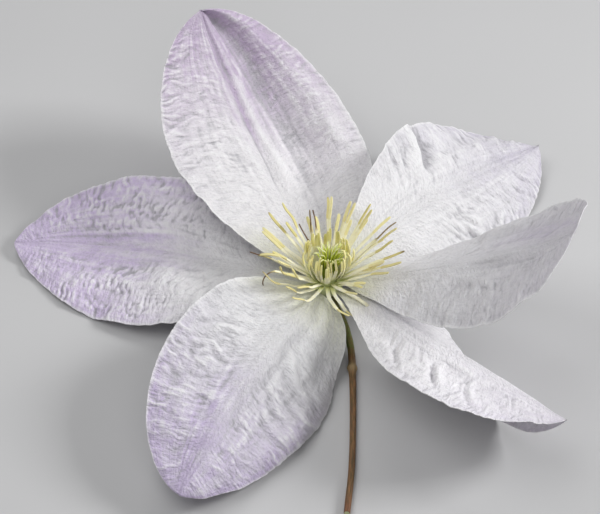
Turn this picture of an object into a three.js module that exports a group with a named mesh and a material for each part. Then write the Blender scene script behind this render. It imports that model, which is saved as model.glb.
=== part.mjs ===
// A large-flowered clematis flower, picked with a short length of stalk and laid down on its back.
// Units are millimetres and +Z is up. The flower's axis is vertical. The cut stalk runs along the
// surface towards -Y. The origin is the middle of the flower's box, on the surface it lies on.

import * as THREE from "three";

// ---------------------------------------------------------------- driving dimensions

// The flower's base: a cushion on top of the stalk, with the petal-like sepals round its side.
const CUSHION_RADIUS = 4.65;
const CUSHION_BOTTOM = -3.6;
const CUSHION_SHOULDER = 2.1;
const CUSHION_TOP = 3.3;

const SEPAL_ROOT_RADIUS = 5;
const SEPAL_THICKNESS = 0.8;
const SEPAL_EDGE_THICKNESS = 0.5;
const SEPAL_TIP_WIDTH = 0.8;
// The root's half width is this share of the greatest half width.
const SEPAL_ROOT_SHARE = 0.08;
// Folds and curls come in over this first share of the length, because the root itself is flat.
const SEPAL_FLAT_SHARE = 0.25;
const SEPAL_STEPS_LONG = 18;
const SEPAL_STEPS_ACROSS = 5;

// One entry for each sepal, going round by azimuth. Angles are in degrees.
// azimuth: direction of its root from the axis.   rise: height of its root.
// width: greatest width, at the share of the length given by widest.   taper: smaller is blunter.
// pitch: climb of the midrib at its root, middle and tip.   sweep: its heading beside the azimuth.
// roll: twist about the midrib, root and tip. Positive lifts the left side, seen from the root.
// fold: each side's angle from the midrib, root and tip.   curl: its further bend out to the edge.
const SEPALS = {
  sepal_upper_right: {
    azimuth: 46, rise: 1.2, length: 91, width: 47, widest: 0.58, taper: 0.84,
    pitch: [10, -8, -7], sweep: [3, -6], roll: [20, 8],
    foldLeft: [23, -1], foldRight: [-4, -8], curlLeft: [20, -1], curlRight: [-14, -24],
  },
  sepal_top: {
    azimuth: 112, rise: 0.4, length: 97, width: 61, widest: 0.52, taper: 0.59,
    pitch: [3, 17, 53], sweep: [-5, 11], roll: [13, 5],
    foldLeft: [7, 8], foldRight: [6, -1], curlLeft: [-4, -3], curlRight: [27, 8],
  },
  sepal_left: {
    azimuth: 170, rise: -1.4, length: 94, width: 55, widest: 0.54, taper: 0.8,
    pitch: [-8, -6, -1], sweep: [-19, 6], roll: [0, -6],
    foldLeft: [4, 1], foldRight: [5, 13], curlLeft: [-6, -10], curlRight: [0, 6],
  },
  sepal_lower_left: {
    azimuth: 240, rise: 0.6, length: 77, width: 49, widest: 0.46, taper: 0.63,
    pitch: [7, -4, -14], sweep: [-3, 6], roll: [-10, -5],
    foldLeft: [-14, -8], foldRight: [17, 2], curlLeft: [-40, -36], curlRight: [4, -8],
  },
  sepal_lower_right: {
    azimuth: 318, rise: 0.3, length: 78, width: 44, widest: 0.63, taper: 0.75,
    pitch: [25, -1, -10], sweep: [-2, 4], roll: [-6, -24],
    foldLeft: [-22, -47], foldRight: [-19, -5], curlLeft: [3, -15], curlRight: [0, 14],
  },
  sepal_right: {
    azimuth: 351, rise: 2.1, length: 74, width: 53, widest: 0.63, taper: 0.53,
    pitch: [17, 30, 50], sweep: [3, -23], roll: [-7, 0],
    foldLeft: [-23, -8], foldRight: [4, -6], curlLeft: [-11, 13], curlRight: [0, -14],
  },
};

// Three rings of stamens stand on the cushion. lean is the angle between a stamen's root and the
// axis, and bend is what its filament adds to that by the time it reaches the anther.
const STAMEN_RINGS = {
  outer: { count: 20, radius: 4.3, length: 20.5, lean: 50, leanSpread: 5, bend: 8 },
  middle: { count: 16, radius: 3.5, length: 18, lean: 31, leanSpread: 4, bend: 7 },
  inner: { count: 12, radius: 2.75, length: 12.5, lean: 14, leanSpread: 2, bend: 3 },
};
// The tuft as a whole nods this far, in degrees, towards its own azimuth, away from the stalk.
const TUFT_NOD = 7;
const TUFT_NOD_AZIMUTH = 80;
const STAMEN_ROOT_GAP = 0.3;
const STAMEN_LENGTH_SPREAD = 1.4;
const STAMEN_AZIMUTH_SPREAD = 2.5;
const STAMEN_BEND_SPREAD = 4;
const STAMEN_STEPS = 7;
const STAMEN_SEED = 1871;
// The anther is the last share of a stamen.
const ANTHER_SHARE = 0.34;
const FILAMENT_HALF_WIDTH = 0.42;
const FILAMENT_HALF_THICKNESS = 0.17;
const ANTHER_HALF_WIDTH = 0.38;
const ANTHER_HALF_THICKNESS = 0.3;
// The anther narrows towards its ends, to the square root of this share.
const ANTHER_END_SHARE = 0.15;
// A stamen's edges have this share of the thickness of its middle.
const STAMEN_EDGE_SHARE = 0.4;

// The bundle of pistils in the middle.
const PISTIL_BOTTOM = 3.6;
const PISTIL_HEIGHT = 8.6;
const PISTIL_ROOT_RADIUS = 1.8;
const PISTIL_HEAD_RADIUS = 2.6;
const PISTIL_FLUTES = 8;
const PISTIL_FLUTE_DEPTH = 0.22;
const PISTIL_STEPS = 7;
// The bundle reaches its full girth at this share of its height, then closes over its head.
const PISTIL_SWELL_SHARE = 0.8;
const PISTIL_HEAD_CLOSING = 0.75;
const PISTIL_HEAD_POWER = 6;

// Radius and height of the cushion's outline, from where the stalk widens to the domed top.
const CUSHION_PROFILE = [
  [1.5, CUSHION_BOTTOM],
  [3, CUSHION_BOTTOM + 0.9],
  [4.2, CUSHION_BOTTOM + 2],
  [CUSHION_RADIUS, CUSHION_BOTTOM + 3.2],
  [CUSHION_RADIUS, CUSHION_SHOULDER],
  [3.3, 2.7],
  [1.6, 3.15],
  [0.5, CUSHION_TOP],
];

const STALK_RADIUS = 1.1;
const STALK_SIDES = 12;
const STALK_STEPS = 34;
// The centreline of the stalk from its cut end to the underside of the cushion.
const STALK_ROUTE = [
  [4.5, -72, -11.7],
  [6, -58, -11.5],
  [6.8, -40, -11.7],
  [7, -25, -11.7],
  [6.6, -14, -11.1],
  [4.8, -7, -8.8],
  [1.8, -2, -5.8],
  [0, 0, CUSHION_BOTTOM],
];

// ---------------------------------------------------------------- helpers

const radians = THREE.MathUtils.degToRad;
const lerp = THREE.MathUtils.lerp;

/** The value at share s of a quantity given at the root and the tip, or at root, middle and tip. */
function along(values, s) {
  if (values.length === 2) {
    return lerp(values[0], values[1], s);
  }
  const [root, middle, tip] = values;
  return root * (1 - s) * (1 - 2 * s) + middle * 4 * s * (1 - s) + tip * s * (2 * s - 1);
}

/** A repeatable stream of numbers between -1 and 1. */
function spreadStream(seed) {
  const modulus = 2147483647;
  let state = seed;
  return () => {
    state = (state * 16807) % modulus;
    return (2 * state) / modulus - 1;
  };
}

/** A closed body skinned over rings of equal length, each a list of points round one section. */
function closedSkin(rings) {
  const count = rings[0].length;
  const indices = [];
  for (let ring = 0; ring + 1 < rings.length; ring++) {
    for (let i = 0; i < count; i++) {
      const near = ring * count;
      const next = (i + 1) % count;
      indices.push(near + i, near + next, near + count + next);
      indices.push(near + i, near + count + next, near + count + i);
    }
  }
  // Each end is closed by a ladder between the two halves of its ring.
  const last = (rings.length - 1) * count;
  for (let i = 0; i + 1 < count / 2; i++) {
    const across = count - 1 - i;
    indices.push(i, across, across - 1, i, across - 1, i + 1);
    indices.push(last + i, last + across - 1, last + across, last + i, last + i + 1, last + across - 1);
  }
  const geometry = new THREE.BufferGeometry();
  const positions = rings.flat().flatMap((point) => point.toArray());
  geometry.setAttribute("position", new THREE.Float32BufferAttribute(positions, 3));
  geometry.setIndex(indices);
  geometry.computeVertexNormals();
  return geometry;
}

function namedMesh(name, geometry, material) {
  const mesh = new THREE.Mesh(geometry, material);
  mesh.name = name;
  return mesh;
}

// ---------------------------------------------------------------- sepals

/** The midrib's direction at share s. */
function midribDirection(sepal, s) {
  const pitch = radians(along(sepal.pitch, s));
  const heading = radians(sepal.azimuth + along(sepal.sweep, s));
  const level = Math.cos(pitch);
  return new THREE.Vector3(level * Math.cos(heading), level * Math.sin(heading), Math.sin(pitch));
}

/** Half the sepal's width at share s: a smooth blade on a narrow root. */
function sepalHalfWidth(sepal, s) {
  const rootPower = (sepal.taper * sepal.widest) / (1 - sepal.widest);
  const blade = (x) => Math.pow(x, rootPower) * Math.pow(1 - x, sepal.taper);
  const root = SEPAL_ROOT_SHARE * Math.pow(1 - s, 3);
  const share = (blade(s) / blade(sepal.widest)) * (1 - root) + root;
  return Math.max((sepal.width / 2) * share, SEPAL_TIP_WIDTH / 2);
}

/** The points and surface directions of one side of a section, from the midrib to the edge. */
function sepalSide(sepal, s, side) {
  const name = side > 0 ? "Left" : "Right";
  const come = THREE.MathUtils.smoothstep(s, 0, SEPAL_FLAT_SHARE);
  const fold = radians(along(sepal[`fold${name}`], s)) * come;
  const curl = radians(along(sepal[`curl${name}`], s)) * come;
  const step = sepalHalfWidth(sepal, s) / SEPAL_STEPS_ACROSS;
  const places = [{ across: 0, height: 0, angle: 0 }];
  for (let i = 1; i <= SEPAL_STEPS_ACROSS; i++) {
    const before = places[i - 1];
    const middleAngle = fold + (curl * (i - 0.5)) / SEPAL_STEPS_ACROSS;
    places.push({
      across: before.across + Math.cos(middleAngle) * step,
      height: before.height + Math.sin(middleAngle) * step,
      angle: fold + (curl * i) / SEPAL_STEPS_ACROSS,
    });
  }
  return places.map((place) => ({ ...place, across: place.across * side, angle: place.angle * side }));
}

/** One ring round the sepal's section: the upper face from left to right, then the lower face back. */
function sepalRing(sepal, s, centre) {
  const direction = midribDirection(sepal, s);
  const heading = radians(sepal.azimuth + along(sepal.sweep, s));
  const levelLeft = new THREE.Vector3(-Math.sin(heading), Math.cos(heading), 0);
  const left = levelLeft.clone().applyAxisAngle(direction, radians(along(sepal.roll, s)));
  const up = new THREE.Vector3().crossVectors(direction, left);
  const right = sepalSide(sepal, s, -1).slice(1).reverse();
  const places = [...right, ...sepalSide(sepal, s, 1)];
  const face = (sign) => places.map((place, i) => {
    const fromMidrib = Math.abs(i - SEPAL_STEPS_ACROSS) / SEPAL_STEPS_ACROSS;
    const half = lerp(SEPAL_THICKNESS, SEPAL_EDGE_THICKNESS, fromMidrib ** 2) / 2;
    return centre.clone()
      .addScaledVector(left, place.across - sign * half * Math.sin(place.angle))
      .addScaledVector(up, place.height + sign * half * Math.cos(place.angle));
  });
  return [...face(1).reverse(), ...face(-1)];
}

function sepalGeometry(sepal) {
  const azimuth = radians(sepal.azimuth);
  const centre = new THREE.Vector3(
    SEPAL_ROOT_RADIUS * Math.cos(azimuth),
    SEPAL_ROOT_RADIUS * Math.sin(azimuth),
    sepal.rise,
  );
  const rings = [sepalRing(sepal, 0, centre)];
  let before = 0;
  for (let i = 1; i <= SEPAL_STEPS_LONG; i++) {
    // Steps are short at the root and the tip, where the outline turns quickly.
    const s = (1 - Math.cos((Math.PI * i) / SEPAL_STEPS_LONG)) / 2;
    const step = midribDirection(sepal, (before + s) / 2).multiplyScalar(sepal.length * (s - before));
    centre.add(step);
    rings.push(sepalRing(sepal, s, centre));
    before = s;
  }
  return closedSkin(rings);
}

// ---------------------------------------------------------------- stamens and pistils

/** Height of the cushion's domed top at a distance from the axis. */
function cushionHeight(radius) {
  return lerp(CUSHION_TOP, CUSHION_SHOULDER, (radius / CUSHION_RADIUS) ** 2);
}

/** Half the width and half the thickness of a stamen at share t of its length. */
function stamenSection(t) {
  const antherStart = 1 - ANTHER_SHARE;
  if (t < antherStart) {
    return [FILAMENT_HALF_WIDTH, FILAMENT_HALF_THICKNESS];
  }
  const share = (t - antherStart) / ANTHER_SHARE;
  const round = Math.sqrt(Math.max(1 - (2 * share - 1) ** 4, ANTHER_END_SHARE));
  return [ANTHER_HALF_WIDTH * round, ANTHER_HALF_THICKNESS * round];
}

function stamenGeometry(ring, stamen) {
  const across = new THREE.Vector3(-Math.sin(stamen.azimuth), Math.cos(stamen.azimuth), 0);
  const point = new THREE.Vector3(
    ring.radius * Math.cos(stamen.azimuth),
    ring.radius * Math.sin(stamen.azimuth),
    cushionHeight(ring.radius) + STAMEN_ROOT_GAP,
  );
  const rings = [];
  for (let i = 0; i <= STAMEN_STEPS; i++) {
    const t = i / STAMEN_STEPS;
    const lean = stamen.lean + stamen.bend * t;
    const outward = new THREE.Vector3(
      Math.sin(lean) * Math.cos(stamen.azimuth),
      Math.sin(lean) * Math.sin(stamen.azimuth),
      Math.cos(lean),
    );
    const upward = new THREE.Vector3().crossVectors(outward, across);
    const [halfWidth, halfThickness] = stamenSection(t);
    const corner = (width, thickness) => point.clone()
      .addScaledVector(across, width * halfWidth)
      .addScaledVector(upward, thickness * halfThickness);
    const edge = STAMEN_EDGE_SHARE;
    rings.push([
      corner(1, edge), corner(0, 1), corner(-1, edge),
      corner(-1, -edge), corner(0, -1), corner(1, -edge),
    ]);
    point.addScaledVector(outward, stamen.length / STAMEN_STEPS);
  }
  return closedSkin(rings);
}

function stamenMeshes(material) {
  const spread = spreadStream(STAMEN_SEED);
  const meshes = [];
  for (const [ringName, ring] of Object.entries(STAMEN_RINGS)) {
    for (let i = 0; i < ring.count; i++) {
      const azimuth = radians((360 * i) / ring.count + STAMEN_AZIMUTH_SPREAD * spread());
      const nod = TUFT_NOD * Math.cos(azimuth - radians(TUFT_NOD_AZIMUTH));
      const stamen = {
        azimuth,
        length: ring.length + STAMEN_LENGTH_SPREAD * spread(),
        lean: radians(ring.lean + nod + ring.leanSpread * spread()),
        bend: radians(ring.bend + STAMEN_BEND_SPREAD * spread()),
      };
      const number = String(i + 1).padStart(2, "0");
      meshes.push(namedMesh(`stamen_${ringName}_${number}`, stamenGeometry(ring, stamen), material));
    }
  }
  return meshes;
}

/** The pistils as one fluted bundle that swells towards its head. */
function pistilGeometry() {
  const rings = [];
  for (let i = 0; i <= PISTIL_STEPS; i++) {
    const t = i / PISTIL_STEPS;
    const swell = THREE.MathUtils.smoothstep(t, 0, PISTIL_SWELL_SHARE);
    const girth = lerp(PISTIL_ROOT_RADIUS, PISTIL_HEAD_RADIUS, swell);
    const radius = girth * Math.sqrt(1 - PISTIL_HEAD_CLOSING * t ** PISTIL_HEAD_POWER);
    const ring = [];
    for (let side = 0; side < 2 * PISTIL_FLUTES; side++) {
      const angle = (Math.PI * side) / PISTIL_FLUTES;
      const reach = radius - (side % 2) * PISTIL_FLUTE_DEPTH;
      ring.push(new THREE.Vector3(
        reach * Math.cos(angle),
        reach * Math.sin(angle),
        PISTIL_BOTTOM + PISTIL_HEIGHT * t,
      ));
    }
    rings.push(ring);
  }
  return closedSkin(rings);
}

// ---------------------------------------------------------------- stalk and cushion

function circle(centre, first, second, radius) {
  const points = [];
  for (let side = 0; side < STALK_SIDES; side++) {
    const angle = (2 * Math.PI * side) / STALK_SIDES;
    points.push(centre.clone()
      .addScaledVector(first, radius * Math.cos(angle))
      .addScaledVector(second, radius * Math.sin(angle)));
  }
  return points;
}

/** The stalk from its cut end up into the cushion: one grown piece. */
function stalkGeometry() {
  const route = new THREE.CatmullRomCurve3(STALK_ROUTE.map((place) => new THREE.Vector3(...place)));
  const frames = route.computeFrenetFrames(STALK_STEPS, false);
  const rings = [];
  for (let i = 0; i < STALK_STEPS; i++) {
    const centre = route.getPointAt(i / STALK_STEPS);
    rings.push(circle(centre, frames.normals[i], frames.binormals[i], STALK_RADIUS));
  }
  const up = new THREE.Vector3(0, 0, 1);
  const first = frames.normals[STALK_STEPS].clone().setZ(0).normalize();
  const second = new THREE.Vector3().crossVectors(up, first);
  for (const [radius, height] of CUSHION_PROFILE) {
    rings.push(circle(new THREE.Vector3(0, 0, height), first, second, radius));
  }
  return closedSkin(rings);
}

// ---------------------------------------------------------------- the flower

const petalWhite = new THREE.MeshStandardMaterial({ color: 0xeeebf2, roughness: 0.55, metalness: 0 });
const stamenCream = new THREE.MeshStandardMaterial({ color: 0xe3dc9c, roughness: 0.6, metalness: 0 });
const pistilGreen = new THREE.MeshStandardMaterial({ color: 0xb9c46a, roughness: 0.6, metalness: 0 });
const stalkBrown = new THREE.MeshStandardMaterial({ color: 0x6d5238, roughness: 0.7, metalness: 0 });

const flower = new THREE.Group();
for (const [name, sepal] of Object.entries(SEPALS)) {
  flower.add(namedMesh(name, sepalGeometry(sepal), petalWhite));
}
flower.add(...stamenMeshes(stamenCream));
flower.add(namedMesh("pistils", pistilGeometry(), pistilGreen));
flower.add(namedMesh("stalk", stalkGeometry(), stalkBrown));

// Bring the middle of the flower's underside to the origin.
const box = new THREE.Box3().setFromObject(flower);
flower.position.set(-(box.min.x + box.max.x) / 2, -(box.min.y + box.max.y) / 2, -box.min.z);

export default flower;
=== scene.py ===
"""A large-flowered clematis, picked with a short stalk and laid on its back.

Fine sepals, stamens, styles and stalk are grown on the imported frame, in its own places.
Shapes are worked out in millimetres from the flower's axis, with +Z up, and set down in metres.
"""
import math

import bpy
import numpy as np
from mathutils import Matrix, Vector


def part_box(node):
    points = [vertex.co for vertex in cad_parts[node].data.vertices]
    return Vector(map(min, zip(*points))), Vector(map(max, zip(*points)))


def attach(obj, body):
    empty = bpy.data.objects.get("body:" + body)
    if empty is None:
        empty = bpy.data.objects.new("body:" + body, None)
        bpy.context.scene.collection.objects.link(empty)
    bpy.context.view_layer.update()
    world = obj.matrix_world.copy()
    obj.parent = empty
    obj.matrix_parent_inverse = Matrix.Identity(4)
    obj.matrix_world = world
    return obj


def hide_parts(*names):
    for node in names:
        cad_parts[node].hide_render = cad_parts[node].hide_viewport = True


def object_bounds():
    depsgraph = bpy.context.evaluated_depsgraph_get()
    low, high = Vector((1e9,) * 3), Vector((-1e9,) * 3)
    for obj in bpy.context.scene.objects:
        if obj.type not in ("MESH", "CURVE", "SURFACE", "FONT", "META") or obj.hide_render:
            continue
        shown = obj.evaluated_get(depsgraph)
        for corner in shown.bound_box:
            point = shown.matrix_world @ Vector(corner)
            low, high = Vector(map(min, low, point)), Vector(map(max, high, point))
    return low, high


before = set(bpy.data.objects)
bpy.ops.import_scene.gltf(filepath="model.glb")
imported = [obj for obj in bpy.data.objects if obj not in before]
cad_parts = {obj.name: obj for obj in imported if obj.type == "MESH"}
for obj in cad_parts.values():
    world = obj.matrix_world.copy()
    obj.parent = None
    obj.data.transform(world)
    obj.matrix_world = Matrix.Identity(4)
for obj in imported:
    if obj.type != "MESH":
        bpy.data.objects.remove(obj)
CAD_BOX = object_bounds()

# ---------------------------------------------------------------- places and sizes

MM = 0.001
# The pistils stand on the flower's axis, with their foot this far above its origin.
PISTIL_BOTTOM = 3.6
pistils_low, pistils_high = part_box("pistils")
AXIS = np.array([
    (pistils_low.x + pistils_high.x) / 2,
    (pistils_low.y + pistils_high.y) / 2,
    pistils_low.z - PISTIL_BOTTOM * MM,
])
# Skin that would pass the frame's box is laid this far inside it.
BOX_MARGIN = 0.02

# ---------------------------------------------------------------- the sepals' habits

SEPAL_ROOT_RADIUS = 5
SEPAL_ROOT_SHARE = 0.08
SEPAL_FLAT_SHARE = 0.25
SEPAL_THICKNESS = 0.42
SEPAL_EDGE_THICKNESS = 0.16
SEPAL_TIP_HALF_WIDTH = 0.42
SEPAL_SEED = 100
SEPAL_SEED_STEP = 20
SEPAL_ROWS = 301
SEPAL_COLUMNS = 161
# Rows crowd towards root and tip, and columns towards the edges, where the sheet turns most.
ROW_CROWDING = 0.35
COLUMN_CROWDING = 1.25
# The underside has one row and one column for so many of the upper side's.
UNDERSIDE_STEP = 2
# Ribs on the underside: where across the blade, and how high at the root.
MIDRIB_HEIGHT = 0.42
SIDE_RIB_PLACE = 0.24
SIDE_RIB_HEIGHT = 0.3
# How far a ripple climbs towards the tip on its way out, at the root and at the tip, and how soon.
RIPPLE_CLIMB = (15, 5)
RIPPLE_BEND = 8
# Skin this much below or above the skin round it counts as fully hollow or fully raised, for the
# painted shade of hollows and painted highlights of crests: seen closely, and over a stretch a few
# times wider.
HOLLOW_DEPTH = 0.26
WIDE_HOLLOW_DEPTH = 0.9
WIDE_HOLLOW_STRIDE = 3

# Angles are in degrees and lengths in millimetres. Left and right are seen from the root.
# azimuth, rise: where the root stands. length, width, widest, taper: the outline, as in the frame.
# pitch, sweep, roll, fold, curl: at root and tip, or at root, middle and tip. They are the frame's
# own, except that the lower right sepal folds and turns more, and two others curl more at the tip.
# trim: what an edge loses, or gains: (side, share of length, spread, millimetres).
# ripple, quilt, swell, wave, rib, pleat: how strongly each kind of relief shows. Ripples and
# pleats are given for the right side and for the left.
# valleys: (across at root, across at tip, spread, height, start, end).
# humps: (along, across, spread along, spread across, height).
# creases: (along, across, length, width, angle from the midrib, depth).
# bars: lilac bars along the veins: (across at root, across at tip, spread, strength, start, end).
# The two colour keys are the skin's white and its lilac, each set lighter on some sepals and darker
# on others as painted light and shade. lilac, tip_lilac, edge_lilac: how lilac it is all over the
# outer blade, at the tip and along the edges.
SEPALS = {
    "sepal_upper_right": dict(
        azimuth=46, rise=1.2, length=91, width=47, widest=0.58, taper=0.84,
        pitch=(10, -8, -7), sweep=(3, -6), roll=(20, 8),
        fold_left=(23, -1), fold_right=(-4, -8), curl_left=(20, 9, -38), curl_right=(-14, -24),
        trim=[("left", 0.65, 0.22, -0.9), ("left", 0.93, 0.07, 0.4), ("right", 0.955, 0.045, -1.2)],
        ripple=(0.6, 0.65), quilt=0.35, swell=1.0, wave=0.8, rib=0.4, pleat=(0.8, 0.6),
        creases=[
            (0.59, 0.68, 15, 2.8, 70, -3.1), (0.55, 0.56, 9, 1.4, 66, -1.1),
            (0.415, 0.74, 9, 1.3, 76, -1.2), (0.45, 0.62, 7, 1.1, 66, -0.8),
            (0.50, -0.64, 9, 1.0, 66, -1.1), (0.47, -0.60, 8, 0.9, 60, -0.9),
            (0.525, -0.52, 7, 0.9, 58, -0.8), (0.44, -0.62, 7, 0.8, 62, -0.6),
            (0.80, -0.6, 6, 0.7, 52, -0.6), (0.84, -0.5, 5, 0.6, 48, -0.5),
        ],
        white_and_painted_shade=(0.84, 0.83, 0.845), lilac_and_painted_shade=(0.58, 0.53, 0.67),
        lilac=0.09, tip_lilac=0.4, edge_lilac=0.2, bars=[(0.0, 0.0, 0.16, 0.18, 0.45, 1.0)],
    ),
    "sepal_top": dict(
        azimuth=112, rise=0.4, length=97, width=61, widest=0.52, taper=0.59,
        pitch=(3, 17, 53), sweep=(-5, 11), roll=(13, 5),
        fold_left=(7, 8), fold_right=(6, -1), curl_left=(-4, -3), curl_right=(27, 8),
        trim=[("right", 0.33, 0.12, -1.2), ("right", 0.92, 0.06, -0.6)],
        ripple=(0.35, 0.65), quilt=0.3, swell=0.8, wave=0.7, rib=0.9, pleat=(0.5, 1.4),
        valleys=[(-0.36, -0.34, 0.20, -3.0, 0.15, 1.2), (-0.78, -0.72, 0.18, 1.5, 0.25, 1.2),
                 (0.03, 0.0, 0.05, -1.1, 0.2, 1.1)],
        white_and_painted_shade=(0.85, 0.835, 0.852), lilac_and_painted_shade=(0.55, 0.44, 0.61),
        # Its deep lilac tip is partly lilac skin and partly painted shade.
        lilac=0.12, tip_lilac=0.85, edge_lilac=0.16,
        bars=[(-0.20, -0.26, 0.16, 0.3, 0.42, 1.0), (0.01, 0.0, 0.04, 0.8, 0.42, 1.0),
              (-0.66, -0.5, 0.34, 0.22, 0.25, 1.0),
              (0.14, 0.1, 0.05, 0.25, 0.4, 0.95)],
    ),
    "sepal_left": dict(
        azimuth=170, rise=-1.4, length=94, width=55, widest=0.54, taper=0.8,
        pitch=(-8, -6, -1), sweep=(-19, 6), roll=(0, -6),
        fold_left=(4, 1), fold_right=(5, 13), curl_left=(-6, -10), curl_right=(0, 6),
        trim=[("right", 0.88, 0.09, 0.9), ("left", 0.42, 0.12, -0.8), ("left", 0.95, 0.05, -0.8)],
        ripple=(0.7, 0.65), quilt=0.95, swell=1.0, wave=0.8, rib=0.6, pleat=(0.8, 0.6),
        humps=[(0.48, -0.12, 0.13, 0.3, 2.2), (0.63, -0.78, 0.07, 0.22, 1.0),
               (0.44, 0.5, 0.12, 0.25, 1.0)],
        white_and_painted_shade=(0.97, 0.96, 0.97), lilac_and_painted_shade=(0.71, 0.595, 0.84),
        lilac=0.48, tip_lilac=0.6, edge_lilac=0.42,
        bars=[(0.22, 0.16, 0.07, 0.4, 0.3, 0.95), (0.02, 0.0, 0.08, 0.35, 0.3, 1.0),
              (-0.18, -0.14, 0.07, 0.4, 0.3, 0.95), (0.42, 0.36, 0.05, 0.3, 0.4, 0.9)],
    ),
    "sepal_lower_left": dict(
        azimuth=240, rise=0.6, length=77, width=49, widest=0.46, taper=0.63,
        pitch=(7, -4, -14), sweep=(-3, 6), roll=(-10, -5),
        fold_left=(-14, -8), fold_right=(17, 2), curl_left=(-40, -36), curl_right=(4, -8),
        trim=[("left", 0.62, 0.12, 1.1)],
        ripple=(0.95, 0.85), quilt=0.35, swell=1.1, wave=0.5, rib=0.5, pleat=(0.7, 0.5),
        creases=[
            (0.33, 0.45, 13, 1.2, 52, -0.7), (0.41, 0.40, 15, 1.4, 55, -0.9),
            (0.47, 0.52, 13, 1.0, 57, -0.6), (0.54, 0.42, 14, 1.2, 58, -0.7),
            (0.62, 0.50, 10, 1.0, 60, -0.5), (0.36, -0.62, 11, 0.9, 66, -0.6),
            (0.45, -0.66, 10, 0.8, 68, -0.5), (0.60, -0.6, 9, 0.9, 66, -0.5),
        ],
        valleys=[(0.22, 0.12, 0.10, -1.7, 0.04, 0.62), (0.85, 0.9, 0.2, 1.6, 0.1, 0.8)],
        white_and_painted_shade=(0.79, 0.785, 0.80), lilac_and_painted_shade=(0.58, 0.485, 0.70),
        lilac=0.36, tip_lilac=0.5, edge_lilac=0.34,
        bars=[(-0.14, -0.16, 0.2, 0.32, 0.35, 1.0)],
    ),
    "sepal_lower_right": dict(
        azimuth=318, rise=0.3, length=78, width=44, widest=0.63, taper=0.75,
        pitch=(25, -1, -10), sweep=(-5.5, 9), roll=(-6, -24),
        fold_left=(32, -35, -72), fold_right=(-19, -5), curl_left=(3, -15), curl_right=(0, 14),
        trim=[("right", 0.42, 0.12, -0.7), ("right", 0.2, 0.1, 0.5), ("right", 0.6, 0.25, 1.2),
              ("left", 0.44, 0.18, 3.0), ("left", 0.84, 0.1, 1.5)],
        ripple=(0.52, 0.4), quilt=0.2, swell=0.4, wave=0.7, rib=0.4, pleat=(0.7, 0.3),
        creases=[
            (0.69, -0.62, 9, 0.8, 60, -0.7), (0.565, -0.62, 9, 0.8, 62, -0.9),
            (0.54, -0.50, 6, 0.7, 58, -0.5), (0.40, -0.64, 9, 0.8, 62, -0.9),
            (0.36, -0.55, 6, 0.7, 60, -0.5), (0.48, -0.45, 8, 0.6, 56, -0.4),
        ],
        white_and_painted_shade=(0.95, 0.932, 0.957), lilac_and_painted_shade=(0.67, 0.61, 0.74),
        lilac=0.08, tip_lilac=0.4, edge_lilac=0.16,
    ),
    "sepal_right": dict(
        azimuth=351, rise=2.1, length=74, width=53, widest=0.63, taper=0.53,
        pitch=(17, 30, 50), sweep=(3, -23), roll=(-7, 0),
        fold_left=(-23, -8), fold_right=(4, -6), curl_left=(-11, 0, 26), curl_right=(0, -14),
        trim=[("right", 0.95, 0.05, -0.9), ("left", 0.95, 0.05, -1.3)],
        ripple=(0.5, 0.45), quilt=0.2, swell=0.8, wave=0.4, rib=0.35, pleat=(0.5, 0.5),
        white_and_painted_shade=(0.78, 0.77, 0.795), lilac_and_painted_shade=(0.65, 0.58, 0.73),
        lilac=0.03, tip_lilac=0.2, edge_lilac=0.0, bars=[(0.5, 0.35, 0.25, 0.45, 0.45, 0.95)],
    ),
}

# ---------------------------------------------------------------- stamens, styles and stalk

# Lengths are in millimetres and angles in degrees, and the rings stand as in the frame.
CUSHION_RADIUS = 4.65
CUSHION_SHOULDER = 2.1
CUSHION_TOP = 3.3
STAMEN_RINGS = {
    "outer": dict(count=20, radius=4.3, length=20.5, lean=50, lean_spread=5, bend=8),
    "middle": dict(count=16, radius=3.5, length=18, lean=31, lean_spread=4, bend=7),
    "inner": dict(count=12, radius=2.75, length=12.5, lean=14, lean_spread=2, bend=3),
}
TUFT_NOD = 7
TUFT_NOD_AZIMUTH = 80
STAMEN_ROOT_GAP = 0.3
STAMEN_LENGTH_SPREAD = 1.4
STAMEN_AZIMUTH_SPREAD = 2.5
STAMEN_BEND_SPREAD = 4
STAMEN_SEED = 1871
# The stamens added between the frame's own are spread by these.
FILLER_AZIMUTH_SPREAD = 6
FILLER_RADIUS_SPREAD = 0.5
FILLER_LENGTH_SPREAD = 1.2
FILLER_LEAN_SPREAD = 5
# Rows of points along a filament, and again along its anther, and points round it.
STAMEN_STEPS = 19
STAMEN_SIDES = 14
FILAMENT_HALF_WIDTHS = (0.58, 0.50)
FILAMENT_HALF_THICKNESSES = (0.15, 0.12)
ANTHER_BASE_HALF_WIDTH = 0.16
ANTHER_HALF_WIDTH = 0.32
ANTHER_HALF_THICKNESS = 0.17
# A filament that dries loses this share of its width, down to a thread.
DRY_SHRINKAGE = 0.4
THREAD_HALF_WIDTHS = (0.05, 0.19)

STYLE_COUNT = 42
STYLE_SEED = 4127
STYLE_STEPS = 15
STYLE_SIDES = 8
STYLE_LENGTH = 9.2
STYLE_ROOT_RADIUS = 1.7
STYLE_ROOT_HEIGHT = 3.1
STYLE_HALF_WIDTHS = (0.36, 0.195)
# The styles are set out in the spiral of a seed head, each turned this much from the last.
STYLE_TURN = math.radians(137.508)
# The whole bundle nods a little, like the stamens round it.
STYLE_NOD = 13
STYLE_NOD_AZIMUTH = 48

STALK_RADIUS = 1.0
STALK_SIDES = 48
STALK_STEPS = 22
STALK_SEED = 61
# The swollen node's place along the stalk.
NODE_SHARE = 0.66
# The stalk's middle line, as in the frame, from its cut end up to the cushion.
STALK_ROUTE = [
    (4.5, -72, -11.7), (6, -58, -11.5), (6.8, -40, -11.7), (7, -25, -11.7),
    (6.6, -14, -11.1), (4.8, -7, -8.8), (1.8, -2, -5.8), (0, 0, -3.6),
]
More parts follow.
